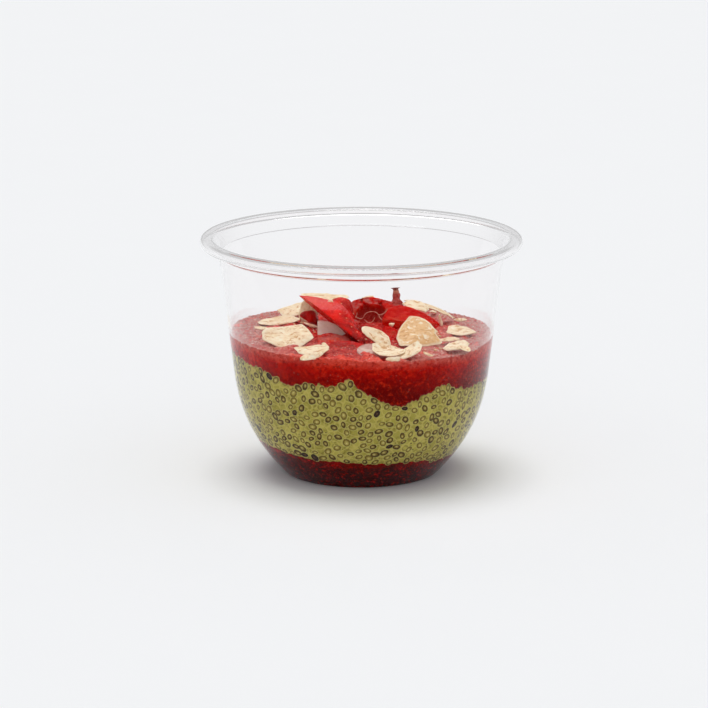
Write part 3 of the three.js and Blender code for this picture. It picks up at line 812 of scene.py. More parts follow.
def reach_of_outline(corners, turn):
    """Distance from the middle of an outline to its edge, at angles."""
    corners = np.array(corners, float)
    middle = corners.mean(0)
    reach = np.zeros(len(turn))
    way = np.column_stack([np.cos(turn), np.sin(turn)])
    for start, end in zip(corners - middle, np.roll(corners, -1, 0) - middle):
        edge = end - start
        across = way[:, 0] * edge[1] - way[:, 1] * edge[0]
        across = np.where(np.abs(across) < 1e-9, 1e-9, across)
        distance = (start[0] * edge[1] - start[1] * edge[0]) / across
        share = (start[0] * way[:, 1] - start[1] * way[:, 0]) / across
        hit = (distance > 0) & (share >= 0) & (share <= 1)
        reach = np.where(hit, np.maximum(reach, distance), reach)
    return middle, reach


def noise_at(points, scale, seed):
    """Noise from -1 to 1 at flat points in millimetres, stretched by the scale in X and Y."""
    return np.array([noise.noise(Vector((x / scale[0], y / scale[1], seed))) for x, y in points])


def flake_piece(name, spec, segments=112, rings=22):
    """One thin, bent almond flake with a soft rim."""
    seed = sum(map(ord, name)) % 89 + 0.5
    piece, ball = unit_ball(name, segments, rings)
    turn = np.arctan2(ball[:, 1], ball[:, 0])
    share = np.clip(np.linalg.norm(ball[:, :2], axis=1), 0, 1)
    step = 2 * np.pi / segments
    middle, reach = reach_of_outline(spec["outline"], turn)
    beside_it = [reach_of_outline(spec["outline"], turn + shift)[1] for shift in (-step, step)]
    reach = 0.7 * reach + 0.15 * sum(beside_it)
    way = np.column_stack([np.cos(turn), np.sin(turn)])
    ragged_rim = 0.10 * noise_at(way * 4, (1, 1), seed) + 0.05 * noise_at(way * 13, (1, 1), seed + 9)
    flat = middle + way * ((reach + ragged_rim) * share)[:, None]
    side = np.sign(ball[:, 2]) * np.sqrt(np.clip(1 - share ** 9, 0, 1))
    half = np.abs(np.array(spec["outline"])[:, 0]).max()
    bend = spec["curl"] * (flat[:, 0] / half) ** 2
    for degrees, distance, slope in spec.get("folds", []):
        fold = np.array([math.cos(math.radians(degrees)), math.sin(math.radians(degrees))])
        beyond = flat @ fold - distance
        bend += slope * (np.sqrt(beyond ** 2 + 0.16) + beyond) / 2
    wave = noise_at(flat, (3.2, 3.2), seed)
    ridges = noise_at(flat, (2.6, 0.45), seed + 3)
    thickness = spec.get("thickness", FLAKE_THICKNESS)
    z = side * thickness / 2 * (1 - 0.3 * share ** 4) + bend + 0.3 * wave + 0.04 * ridges * (share < 0.97)
    set_coordinates(piece, np.column_stack([flat, z]))
    set_vectors(piece, "own_place", np.column_stack([flat[:, 0], flat[:, 1] + seed, np.full(len(z), seed)]))
    set_attribute(piece, "rim", share)
    set_attribute(piece, "tan", np.full(len(z), spec.get("tan", 0.0)))
    piece.data.transform(placed(spec["centre"], spec["along"], spec["face"]))
    return piece


def bit_outline(random, size):
    """Corners of a small broken bit."""
    turns = np.linspace(0, 2 * np.pi, 8, endpoint=False) + random.uniform(-0.25, 0.25, 8)
    reach = random.uniform(0.6, 1.15, 8)
    return [(size[0] / 2 * math.cos(turn) * far, size[1] / 2 * math.sin(turn) * far)
            for turn, far in zip(turns, reach)]


def join_pieces(pieces, name):
    make_active(pieces[0])
    for piece in pieces:
        piece.select_set(True)
    bpy.ops.object.join()
    return named(name)


def lumps(x, y):
    """Uneven rise of the puree's upper surface at a place."""
    return sum(rise * noise.noise(Vector((x / size, y / size, seed))) for size, seed, rise in LUMPS)


def unrest(fraction):
    """Share of the lumps' rise that is left at a share of the way from the axis to the wall."""
    return 1 - smooth(fraction, 0.94, 1.0) * 0.8


def puree_surface(x, y):
    """Height of the upper puree's surface."""
    edge = float(fill_edge(math.degrees(math.atan2(y, x))))
    fraction = min(math.hypot(x, y) / float(reach_radius(edge)), 1)
    return FILL_CROWN + (edge - FILL_CROWN) * fraction ** 2 + lumps(x, y) * float(unrest(fraction))


# ---- Finishes ----

def clear_plastic():
    material, tree, shader, place = new_material("clear_plastic")
    streaks = add_node(tree, "Mapping", {"Vector": place, "Scale": (1, 1, 0.25)}).outputs["Vector"]
    waves = noise_value(tree, streaks, 9, detail=1)
    grain = noise_value(tree, place, 0.6, detail=3)
    uneven = bump(tree, waves, 0.03)
    set_shader(
        tree, shader, Base_Color=srgb(255, 254, 254), Transmission_Weight=1.0, IOR=1.5, Normal=uneven,
        Specular_Tint=(0.03, 0.03, 0.03, 1), Roughness=rescale(tree, grain, 0.3, 0.8, 0.0, 0.02),
    )
    lets_light_through = add_node(tree, "BsdfTransparent", {"Color": (0.965, 0.97, 0.97, 1)})
    path = tree.nodes.new("ShaderNodeLightPath")
    trapped = calculate(tree, "GREATER_THAN", path.outputs["Ray Depth"], 4.5)
    straight = calculate(tree, "MAXIMUM", path.outputs["Is Shadow Ray"], trapped)
    mixed = tree.nodes.new("ShaderNodeMixShader")
    tree.links.new(straight, mixed.inputs["Fac"])
    tree.links.new(shader.outputs["BSDF"], mixed.inputs[1])
    tree.links.new(lets_light_through.outputs["BSDF"], mixed.inputs[2])
    tree.links.new(mixed.outputs["Shader"], tree.nodes["Material Output"].inputs["Surface"])
    return material


def chia_gel():
    material, tree, shader, place = new_material("chia_gel")
    drift = noise_value(tree, place, 8, detail=3)
    base = blend(tree, rescale(tree, drift, 0.3, 0.7), srgb(199, 188, 88), srgb(224, 214, 111))
    warped = blend(tree, 0.0012, place, noise_colour(tree, place, 1.6), "ADD")
    for size, ring_colour, share in ((2.9, srgb(150, 132, 56), 0.6), (3.7, srgb(164, 148, 64), 0.5)):
        away = cells(tree, warped, size)
        ring = calculate(tree, "MULTIPLY", rescale(tree, away, 0.16, 0.27), rescale(tree, away, 0.42, 0.3))
        base = blend(tree, calculate(tree, "MULTIPLY", ring, share), base, ring_colour)
    speck = rescale(tree, cells(tree, warped, 1.7), 0.17, 0.12)
    rare = rescale(tree, noise_value(tree, place, 2.6), 0.53, 0.56)
    base = blend(tree, calculate(tree, "MULTIPLY", speck, rare), base, srgb(84, 60, 30))
    border = cells(tree, warped, 2.3, "DISTANCE_TO_EDGE")
    veil = rescale(tree, border, 0.12, 0.02, 0, 0.6)
    base = blend(tree, veil, base, srgb(241, 229, 136))
    relief = noise_value(tree, place, 1.1, detail=3)
    set_shader(tree, shader, Base_Color=base, Roughness=rescale(tree, relief, 0.3, 0.7, 0.45, 0.7),
               Specular_IOR_Level=0.2, Normal=bump(tree, relief, 0.15))
    return material


def seed_coat():
    material, tree, shader, place = new_material("chia_seed_coat")
    tone = attribute(tree, "tone")
    wander = calculate(tree, "MULTIPLY", calculate(tree, "SUBTRACT", noise_value(tree, place, 0.5), 0.5), 0.3)
    across = calculate(tree, "ADD", attribute(tree, "across"), wander)
    strong, pale, black = (
        ramp(tree, across, [(at, srgb(*colour)) for at, colour in SEED_COLOURS[kind] + SEED_EDGE])
        for kind in ("strong", "pale", "black")
    )
    colour = blend(tree, rescale(tree, tone, 0.3, 0.75), strong, pale)
    colour = blend(tree, rescale(tree, tone, 0.02, 0.015), colour, black)
    set_shader(tree, shader, Base_Color=colour, Roughness=rescale(tree, across, 0.2, 0.8, 0.35, 0.6),
               Specular_IOR_Level=0.3)
    return material


def puree(name):
    """Strawberry puree; the depth below its upper edge decides how dark it is, as painted shade below the lit
    top.
    """
    bright, middle, dark, froth = (srgb(*colour) for colour in PUREE_COLOURS[name])
    material, tree, shader, place = new_material(name)
    depth = attribute(tree, "depth")
    cloud = noise_value(tree, place, 5, detail=4, roughness=0.6)
    fine = noise_value(tree, place, 0.7, detail=3, roughness=0.7)
    drift = calculate(tree, "MULTIPLY", calculate(tree, "SUBTRACT", cloud, 0.5), 8)
    shifted = calculate(tree, "ADD", depth, drift)
    level = calculate(tree, "DIVIDE", shifted, 16)
    colour = ramp(tree, level, [(0.0, bright), (0.2, middle), (0.62, dark), (1.0, dark)])
    pulp = noise_value(tree, place, 1.1, detail=4, roughness=0.8)
    colour = blend(tree, rescale(tree, pulp, 0.52, 0.64, 0, 0.8), colour, bright)
    colour = blend(tree, rescale(tree, pulp, 0.48, 0.36, 0, 0.75), colour, dark)
    speck = rescale(tree, cells(tree, place, 1.3), 0.2, 0.13)
    rare = rescale(tree, noise_value(tree, place, 2.0), 0.53, 0.57, 0, 0.7)
    colour = blend(tree, calculate(tree, "MULTIPLY", speck, rare), colour, froth)
    seam = rescale(tree, attribute(tree, "above"), 0.5, 0.1, 0, 0.55)
    colour = blend(tree, seam, colour, froth)
    top = attribute(tree, "froth")
    patches = rescale(tree, noise_value(tree, place, 3.2, detail=3, roughness=0.6), 0.22, 0.48)
    # Froth from dark-red gaps, painted shade between the bubbles, to near-white specks that are painted
    # glints
    foam = ramp(tree, noise_value(tree, place, 1.1, detail=4, roughness=0.8),
                [(0.3, dark), (0.39, middle), (0.46, froth), (0.58, srgb(200, 138, 124)),
                 (0.7, srgb(250, 226, 214))])
    colour = blend(tree, calculate(tree, "MULTIPLY", top, patches), colour, foam)
    bubbles = cells(tree, place, 0.7)
    relief = calculate(tree, "ADD", fine, calculate(tree, "MULTIPLY", bubbles, -0.8))
    set_shader(
        tree, shader, Base_Color=colour, Roughness=rescale(tree, fine, 0.3, 0.7, 0.3, 0.5),
        Specular_IOR_Level=calculate(tree, "MULTIPLY", top, 0.5), Normal=bump(tree, relief, 0.25),
    )
    return material


def strawberry(name):
    """Glossy seeded skin, and flesh that pales towards the core along its fibres."""
    skin, deep_skin, flesh, core, painted_sheen = (srgb(*colour) for colour in BERRY_COLOURS[name])
    material, tree, shader, place = new_material(name)
    own = attribute(tree, "own_place", "Vector")
    cloud = noise_value(tree, place, 3, detail=3)
    fine = noise_value(tree, place, 0.5, detail=3, roughness=0.6)
    outside = blend(tree, rescale(tree, cloud, 0.35, 0.65), skin, deep_skin)
    fibres = add_node(tree, "Mapping", {"Vector": own, "Scale": (0.9, 0.9, 0.35)}).outputs["Vector"]
    streak = add_node(tree, "TexNoise", {"Vector": fibres, "Scale": 1.6, "Detail": 4}).outputs["Fac"]
    depth = calculate(tree, "ADD", attribute(tree, "core"), rescale(tree, streak, 0.35, 0.65, -0.3, 0.3))
    inside = ramp(tree, depth,
                  [(0.0, deep_skin), (0.15, flesh), (0.45, deep_skin), (0.6, flesh), (1.0, core)])
    colour = blend(tree, attribute(tree, "flesh"), outside, inside)
    # Darker, duller colour for a deeper red with painted shade, and painted shade at the tip
    shade = blend(tree, rescale(tree, cloud, 0.35, 0.6), (0.62, 0.5, 0.5, 1), (0.36, 0.26, 0.3, 1))
    dimmed = blend(tree, 1.0, colour, shade, "MULTIPLY")
    colour = blend(tree, attribute(tree, "deep_and_shade"), colour, dimmed)
    # Darker red in the open middle: the berry's own red inside, with painted shade in the hollow
    colour = blend(tree, attribute(tree, "hollow"), colour, srgb(172, 34, 26))
    # Painted highlight: lighter flecks on the upward faces of the wet, bumpy skin
    sheen_flecks = rescale(tree, noise_value(tree, place, 1.0, detail=5, roughness=0.65), 0.5, 0.62)
    colour = blend(tree, calculate(tree, "MULTIPLY", attribute(tree, "painted_sheen"), sheen_flecks), colour, painted_sheen)
    patches = rescale(tree, noise_value(tree, place, 2.2, 4), 0.42, 0.6)
    smear = calculate(tree, "MULTIPLY", attribute(tree, "smear"), patches)
    smear = calculate(tree, "MULTIPLY", smear, calculate(tree, "SUBTRACT", 1.0, attribute(tree, "hollow")))
    colour = blend(tree, smear, colour, srgb(190, 112, 104))
    set_shader(
        tree, shader, Base_Color=colour, Roughness=rescale(tree, fine, 0.3, 0.7, 0.12, 0.32), IOR=1.4,
        Specular_IOR_Level=0.12,
        Subsurface_Weight=0.15, Subsurface_Radius=(1.0, 0.25, 0.1), Subsurface_Scale=1.2 * MM,
        Normal=bump(tree, calculate(tree, "ADD", fine, streak), 0.18),
    )
    return material


def berry_seed():
    material, tree, shader, place = new_material("berry_seed")
    tone = attribute(tree, "tone")
    colour = blend(tree, tone, srgb(236, 140, 84), srgb(250, 206, 158))
    spots = noise_value(tree, place, 0.4)
    colour = blend(tree, rescale(tree, spots, 0.5, 0.8, 0, 0.5), colour, srgb(170, 70, 30))
    set_shader(tree, shader, Base_Color=colour, Roughness=0.35, Normal=bump(tree, spots, 0.05))
    return material


def fibre():
    material, tree, shader, place = new_material("berry_fibre")
    tone = noise_value(tree, place, 0.8, detail=3)
    colour = blend(tree, rescale(tree, tone, 0.35, 0.65), srgb(226, 168, 144), srgb(190, 96, 80))
    set_shader(
        tree, shader, Base_Color=colour, Roughness=0.35, Normal=bump(tree, tone, 0.08),
        Subsurface_Weight=0.2, Subsurface_Scale=0.4 * MM,
    )
    return material


def stalk_skin():
    material, tree, shader, place = new_material("stalk_skin")
    tone = noise_value(tree, place, 0.7, detail=4, roughness=0.6)
    colour = ramp(tree, attribute(tree, "along"), [(0.0, srgb(150, 26, 18)), (0.7, srgb(186, 44, 30)),
                                                   (0.84, srgb(224, 150, 120)), (0.95, srgb(120, 24, 20))])
    colour = blend(tree, rescale(tree, tone, 0.5, 0.7, 0, 0.6), colour, srgb(226, 110, 84))
    set_shader(tree, shader, Base_Color=colour, Roughness=rescale(tree, tone, 0.3, 0.7, 0.3, 0.5),
               Normal=bump(tree, tone, 0.15))
    return material


def froth_skin():
    material, tree, shader, place = new_material("froth_bubbles")
    tone = attribute(tree, "tone")
    # The near-white end stands for painted glints on the wet bubbles
    colour = ramp(tree, tone, [(0.0, srgb(190, 26, 16)), (0.45, srgb(206, 84, 66)),
                               (0.75, srgb(222, 156, 138)), (1.0, srgb(255, 242, 234))])
    cloud = noise_value(tree, place, 0.3)
    set_shader(tree, shader, Base_Color=colour, Roughness=rescale(tree, cloud, 0.3, 0.7, 0.12, 0.3),
               Normal=bump(tree, cloud, 0.02))
    return material


def almond():
    """Pale nut with a faint grain along it, a paler rim that is a painted highlight on its thin edge, and a
    toasted patch here and there on it.
    """
    material, tree, shader, place = new_material("almond")
    own = attribute(tree, "own_place", "Vector")
    rim = attribute(tree, "rim")
    warp = add_node(tree, "TexNoise", {"Vector": own, "Scale": 0.35, "Detail": 2}).outputs["Color"]
    warped = blend(tree, 1.0, own, blend(tree, 1.0, warp, (4, 4, 4, 1), "MULTIPLY"), "ADD")
    grain_place = add_node(tree, "Mapping", {"Vector": warped, "Scale": (0.22, 0.7, 1)}).outputs["Vector"]
    texture = {"Vector": grain_place, "Scale": 1.4, "Detail": 5, "Roughness": 0.6}
    grain = add_node(tree, "TexNoise", texture).outputs["Fac"]
    patch = add_node(tree, "TexNoise", {"Vector": own, "Scale": 0.22, "Detail": 2}).outputs["Fac"]
    fine = noise_value(tree, place, 0.35, detail=2)
    colour = blend(tree, rescale(tree, patch, 0.3, 0.7), srgb(254, 232, 198), srgb(242, 212, 168))
    colour = blend(tree, attribute(tree, "tan"), colour, srgb(234, 188, 130))
    colour = blend(tree, rescale(tree, grain, 0.52, 0.64, 0, 0.85), colour, srgb(208, 148, 86))
    colour = blend(tree, rescale(tree, grain, 0.46, 0.36, 0, 0.85), colour, srgb(255, 242, 214))
    # Painted highlight: the thin rim is paler
    colour = blend(tree, rescale(tree, rim, 0.84, 0.97, 0, 0.75), colour, srgb(255, 240, 208))
    toasted = calculate(tree, "MULTIPLY", rescale(tree, rim, 0.9, 0.99), rescale(tree, patch, 0.52, 0.62))
    colour = blend(tree, calculate(tree, "MULTIPLY", toasted, 0.5), colour, srgb(206, 150, 92))
    set_shader(
        tree, shader, Base_Color=colour, Roughness=rescale(tree, fine, 0.3, 0.7, 0.42, 0.6),
        Subsurface_Weight=0.1, Subsurface_Radius=(1.0, 0.7, 0.4), Subsurface_Scale=0.6 * MM,
        Normal=bump(tree, calculate(tree, "ADD", grain, calculate(tree, "MULTIPLY", fine, 0.4)), 0.12),
    )
    return material


def pale_floor(colour):
    material, tree, shader, place = new_material("pale_floor")
    mottle = noise_value(tree, place, 40, detail=2)
    shade = blend(tree, mottle, colour, tuple(channel * 0.992 for channel in colour[:3]) + (1,))
    set_shader(tree, shader, Base_Color=shade, Roughness=0.9, Specular_IOR_Level=0.1)
    return material


# ---- Settings that a user would change ----

class PuddingStage(bpy.types.PropertyGroup):
    """Camera, light and floor."""

    distance: bpy.props.FloatProperty(
        name="Camera distance", description="From the lens to the middle of the pot",
        default=1.0, min=0.3, unit="LENGTH", subtype="DISTANCE",
    )
    elevation: bpy.props.FloatProperty(
        name="Camera elevation", description="How steeply the camera looks down",
        default=math.radians(13.136), subtype="ANGLE",
    )
    lens: bpy.props.FloatProperty(
        name="Lens", description="Focal length on a 36 mm sensor", default=169.6, min=10, unit="CAMERA",
    )
    dome_strength: bpy.props.FloatProperty(
        name="Dome strength", description="Brightness of the soft white surroundings", default=0.59, min=0,
    )
    key_strength: bpy.props.FloatProperty(
        name="Key strength", description="Brightness of the soft light from above", default=1.25, min=0,
    )
    key_width: bpy.props.FloatProperty(
        name="Key width", description="How wide the light from above is seen from the pot",
        default=math.radians(40), subtype="ANGLE",
    )
    floor_colour: bpy.props.FloatVectorProperty(
        name="Floor colour", description="Colour of the plain floor", default=(0.88, 0.89, 0.9),
        size=3, min=0, max=1, subtype="COLOR",
    )


class PuddingFillings(bpy.types.PropertyGroup):
    """The pudding, and the small things scattered on the puree."""

    seed_spacing: bpy.props.FloatProperty(
        name="Seed spacing", description="Least distance between neighbouring chia seeds",
        default=2.15 * MM, min=1.0 * MM, unit="LENGTH", subtype="DISTANCE",
    )
    seed_length: bpy.props.FloatProperty(
        name="Seed length", description="Length of a swollen chia seed with its gel coat",
        default=3.5 * MM, unit="LENGTH", subtype="DISTANCE",
    )
    crumb_count: bpy.props.IntProperty(
        name="Almond crumbs", description="How many fine crumbs of almond lie on the puree",
        default=90, min=1,
    )
    bubble_count: bpy.props.IntProperty(
        name="Bubbles", description="How many fine bubbles lie on the puree", default=2000, min=1,
    )


# ---- Operators ----

class BuildStage(bpy.types.Operator):
    """Adds the pale floor, the soft light and the camera"""

    bl_idname = "pudding.stage"
    bl_label = "Stage"

    def execute(self, context):
        settings = context.scene.pudding_stage
        deselect_all()
        bpy.ops.mesh.primitive_plane_add(size=12)
        floor = named("floor")
        floor.data.materials.append(pale_floor(tuple(settings.floor_colour) + (1,)))
        self.add_camera(context, settings)
        self.add_light(context, settings)
        return {"FINISHED"}

    def add_camera(self, context, settings):
        """The photograph's view: the pot sits a little right of and below the frame's middle."""
        aim = Vector((-2.19, 0, 35.0)) * MM
        back = Vector((0, -math.cos(settings.elevation), math.sin(settings.elevation)))
        up = Vector((0, math.sin(settings.elevation), math.cos(settings.elevation)))
        aim += up * 0.19 * MM
        bpy.ops.object.camera_add(location=aim + back * settings.distance)
        camera = context.object
        camera.name = camera.data.name = "camera"
        camera.rotation_euler = back.to_track_quat("Z", "Y").to_euler()
        camera.data.lens = settings.lens
        context.scene.camera = camera

    def add_light(self, context, settings):
        bpy.ops.object.light_add(type="SUN", location=(-0.1, 0.2, 1.2))
        key = context.object
        key.name = key.data.name = "key_light"
        key.data.angle = settings.key_width
        key.data.energy = settings.key_strength
        key.rotation_euler = key.location.to_track_quat("Z", "Y").to_euler()
        world = bpy.data.worlds.new("surroundings")
        context.scene.world = world
        world.use_nodes = True
        tree = world.node_tree
        direction = tree.nodes.new("ShaderNodeTexCoord").outputs["Generated"]
        parts = add_node(tree, "SeparateXYZ", {"Vector": direction}).outputs
        sides = blend(tree, rescale(tree, parts["Y"], -0.2, 0.5), grey(0.85), grey(0.95))
        front = rescale(tree, parts["Y"], -0.45, -0.85)
        sides = blend(tree, front, sides, grey(0.85))
        room = blend(tree, rescale(tree, parts["Z"], 0.3, 0.8), sides, grey(1.15))
        background = tree.nodes["Background"]
        tree.links.new(room, background.inputs["Color"])
        background.inputs["Strength"].default_value = settings.dome_strength
        context.scene.view_settings.view_transform = "Standard"


class BuildPot(bpy.types.Operator):
    """Spins the clear plastic pot from its outline and gives it its thickness"""

    bl_idname = "pudding.pot"
    bl_label = "Clear pot"

    def execute(self, context):
        deselect_all()
        bpy.ops.mesh.primitive_plane_add(size=MM)
        pot = named("clear_pot")
        bpy.ops.object.mode_set(mode="EDIT")
        mesh = bmesh.from_edit_mesh(pot.data)
        mesh.verts.ensure_lookup_table()
        bmesh.ops.delete(mesh, geom=mesh.verts[1:], context="VERTS")
        mesh.verts.ensure_lookup_table()
        mesh.verts[0].co = Vector((MIDDLE[0][0], 0, MIDDLE[0][1])) * MM
        mesh.verts[0].select_set(True)
        bmesh.update_edit_mesh(pot.data)
        for radius, height in np.diff(MIDDLE, axis=0):
            move = {"value": (radius * MM, 0, height * MM)}
            bpy.ops.mesh.extrude_region_move(TRANSFORM_OT_translate=move)
        bpy.ops.mesh.select_all(action="SELECT")
        bpy.ops.mesh.spin(steps=224, angle=2 * math.pi, center=(0, 0, 0), axis=(0, 0, 1))
        bpy.ops.mesh.select_all(action="SELECT")
        bpy.ops.mesh.remove_doubles(threshold=0.002 * MM)
        bpy.ops.mesh.normals_make_consistent(inside=False)
        bpy.ops.object.mode_set(mode="OBJECT")
        apply_modifier(pot, "SOLIDIFY", thickness=SHEET * MM, offset=0, use_even_offset=True)
        finish_piece(pot, clear_plastic(), ["pot"])
        return {"FINISHED"}


class BuildLowerPuree(bpy.types.Operator):
    """Fills the foot of the pot with dark puree"""

    bl_idname = "pudding.lower_puree"
    bl_label = "Lower puree"

    def execute(self, context):
        rows = surface_rows(lower_edge, LOWER_CROWN, np.linspace(0, 1, 16))
        rows += wall_rows(lower_edge, lambda degrees: np.full_like(degrees, REACH_WALL[0, 1] + 0.05), 14)
        rows += [lambda degrees, r=radius, h=height: (r, h) for radius, height in REACH_FLOOR[::-1]]
        body, _, degrees = turned_body("lower_puree_fill", COLUMNS, rows)
        points = coordinates(body)
        # Painted shade: darker towards the foot of the pot
        set_attribute(body, "depth", 7 + lower_edge(degrees) - points[:, 2])
        set_attribute(body, "froth", np.zeros(len(points)))
        set_attribute(body, "above", np.full(len(points), FAR_ABOVE))
        finish = puree("lower_puree")
        close_seams(body)
        finish_piece(body, finish, ["lower_puree"])
        return {"FINISHED"}


class BuildChiaPudding(bpy.types.Operator):
    """Adds the green gel between the two layers of puree"""

    bl_idname = "pudding.chia"
    bl_label = "Chia pudding"

    def execute(self, context):
        rows = surface_rows(upper_edge, UPPER_CROWN, np.linspace(0, 1, 10))
        rows += wall_rows(upper_edge, lower_edge, 22)
        rows += surface_rows(lower_edge, LOWER_CROWN, np.linspace(1, 0, 10))
        body, _, _ = turned_body("chia_gel", COLUMNS, rows)
        close_seams(body)
        finish_piece(body, chia_gel(), ["chia_pudding"])
        return {"FINISHED"}


class BuildChiaSeeds(bpy.types.Operator):
    """Presses swollen chia seeds against the wall, all round the pot"""

    bl_idname = "pudding.seeds"
    bl_label = "Chia seeds"

    def execute(self, context):
        settings = context.scene.pudding_fillings
        random = np.random.default_rng(11)
        spacing = settings.seed_spacing / MM
        places = scatter_on_wall(random, spacing, SEED_TRIES)
        seed = self.one_seed()
        shape = coordinates(seed)
        across = np.linalg.norm(shape[:, :2], axis=1)
        corners, tones = [], []
        for degrees, height in places:
            length = settings.seed_length / MM / 2 * random.uniform(0.72, 1.08)
            sizes = np.array([length, length * random.uniform(0.62, 0.86), 1])
            turn = random.uniform(0, np.pi)
            # Shifts the middle at random, so that the dark ring, partly painted shade, is thicker on one side
            off = random.uniform(-0.3, 0.3, 2)
            local = shape.copy()
            local[:, :2] += off * (1 - across[:, None])
            local *= sizes
            spun = np.column_stack([
                local[:, 0] * np.cos(turn) - local[:, 1] * np.sin(turn),
                local[:, 0] * np.sin(turn) + local[:, 1] * np.cos(turn),
                local[:, 2],
            ])
            corners.append(on_wall(degrees, height, spun))
            tones.append(random.uniform())
        seeds = mesh_piece(context, "chia_seeds", np.vstack(corners) * MM, copied_faces(seed, len(places)))
        bpy.data.objects.remove(seed)
        set_attribute(seeds, "across", np.tile(across, len(places)))
        set_attribute(seeds, "tone", np.repeat(tones, len(shape)))
        finish_piece(seeds, seed_coat())
        return {"FINISHED"}

    def one_seed(self):
        """A low lens of radius 1: its rim lies just inside the gel and its crown just proud of it."""
        seed, points = unit_ball("seed_shape", 12, 8)
        upper = points[:, 2] > -0.01
        points[:, 2] = np.where(upper, points[:, 2] * 0.12 - 0.05, points[:, 2] * 0.2 - 0.05)
        set_coordinates(seed, points)
        return seed


def scatter_on_wall(random, spacing, tries):
    """Places for seeds on the wall, as degrees and height, none nearer to another than the spacing."""
    degrees = random.uniform(0, 360, tries)
    share = random.uniform(0, 1, tries)
    low, high = lower_edge(degrees) + 0.3, upper_edge(degrees) - 0.4
    heights = low + (high - low) * share
    radius = reach_radius(heights)
    points = np.column_stack([*round_axis(degrees, radius), heights])
    kept = []
    for index in range(tries):
        apart = np.linalg.norm(points[kept] - points[index], axis=1) if kept else np.array([spacing])
        if apart.min() >= spacing:
            kept.append(index)
    return [(degrees[index], heights[index]) for index in kept]


def on_wall(degrees, height, local):
    """Bends a small flat shape onto the wall: X runs round the pot, Y up the wall and Z outwards."""
    step = 0.2
    rise = (reach_radius(height + step) - reach_radius(height - step)) / (2 * step)
    length = math.hypot(1, rise)
    heights = height + local[:, 1] / length
    radius = reach_radius(heights)
    turns = np.radians(degrees) + local[:, 0] / radius
    radius = radius + local[:, 2] / length
    heights = heights - local[:, 2] * rise / length
    return np.column_stack([radius * np.cos(turns), radius * np.sin(turns), heights])


class BuildTopPuree(bpy.types.Operator):
    """Adds the bright puree on top, with its uneven, frothy surface"""

    bl_idname = "pudding.top_puree"
    bl_label = "Top puree"

    def execute(self, context):
        fractions = np.concatenate([np.linspace(0, 0.9, 64, endpoint=False), np.linspace(0.9, 1, 14)])
        rows = surface_rows(fill_edge, FILL_CROWN, fractions)
        rows += wall_rows(fill_edge, upper_edge, 26)
        rows += surface_rows(upper_edge, UPPER_CROWN, np.linspace(1, 0, 8))
        body, row, degrees = turned_body("strawberry_puree_top", COLUMNS, rows)
        points = coordinates(body)
        surface = row < len(fractions)
        fraction = fractions[np.where(surface, row, 0)]
        rise = np.array([lumps(x, y) if top else 0 for (x, y, _), top in zip(points, surface)])
        points[:, 2] += rise * np.where(surface, unrest(fraction), 0)
        set_coordinates(body, points)
        # Painted shade on the surface: darker in the middle among the toppings, beside the long wedge, in the
        # front and in the dips between lumps, lighter on the lumps' tops
        hollow = np.where(surface, 5 * (1 - smooth(fraction, 0.35, 0.85)), 0)
        x, y, z = points.T
        front = np.exp(-(((degrees + 98 + 180) % 360 - 180) / 34) ** 2)
        shaded = 9 * np.exp(-((x + 2) / 8) ** 2 - ((y + 25) / 4.5) ** 2) * surface  # beside the long wedge
        shaded += 5 * front * surface * (1 - smooth(fraction, 0.82, 0.98))
        below = fill_edge(degrees) - z
        set_attribute(body, "depth", np.maximum(below, 0) + hollow + shaded - rise * surface * 4)
        set_attribute(body, "above", np.where(surface, FAR_ABOVE, z - upper_edge(degrees)))
        side = 0.5 * (1 - smooth(below, 0.3, 3.2))
        top = (0.15 + 0.85 * smooth(fraction, 0.45, 0.8)) * (1 - 0.75 * front)
        set_attribute(body, "froth", np.where(surface, top, side * (1 - 0.5 * front)))
        finish = puree("strawberry_puree")
        close_seams(body)
        finish_piece(body, finish, ["strawberry_puree"])
        return {"FINISHED"}


class BuildBerries(bpy.types.Operator):
    """Cuts the strawberry pieces and sets their seeds"""

    bl_idname = "pudding.berries"
    bl_label = "Strawberries"

    def execute(self, context):
        finishes = {kind: strawberry(kind) for kind in BERRY_COLOURS}
        pits = []
        for name, spec in BERRIES.items():
            piece, left = berry_piece(name + "_cut", spec)
            pits += left
            kind = spec.get("kind", "strawberry")
            finish_piece(piece, finishes[kind], [name])
        random = np.random.default_rng(21)
        grain, points = unit_ball("grain_shape", 8, 6)
        points[:, 0] *= GRAIN[0] * (1 - 0.3 * points[:, 2])
        points[:, 1:] *= GRAIN[1:]
        set_coordinates(grain, points)
        matrices = [placed(place - out * 0.2, along.cross(out), along) for place, out, along in pits]
        seeds = joined_copies(context, "strawberry_seeds", grain, matrices,
                              {"tone": random.uniform(0, 1, len(matrices))})
        finish_piece(seeds, berry_seed())
        return {"FINISHED"}


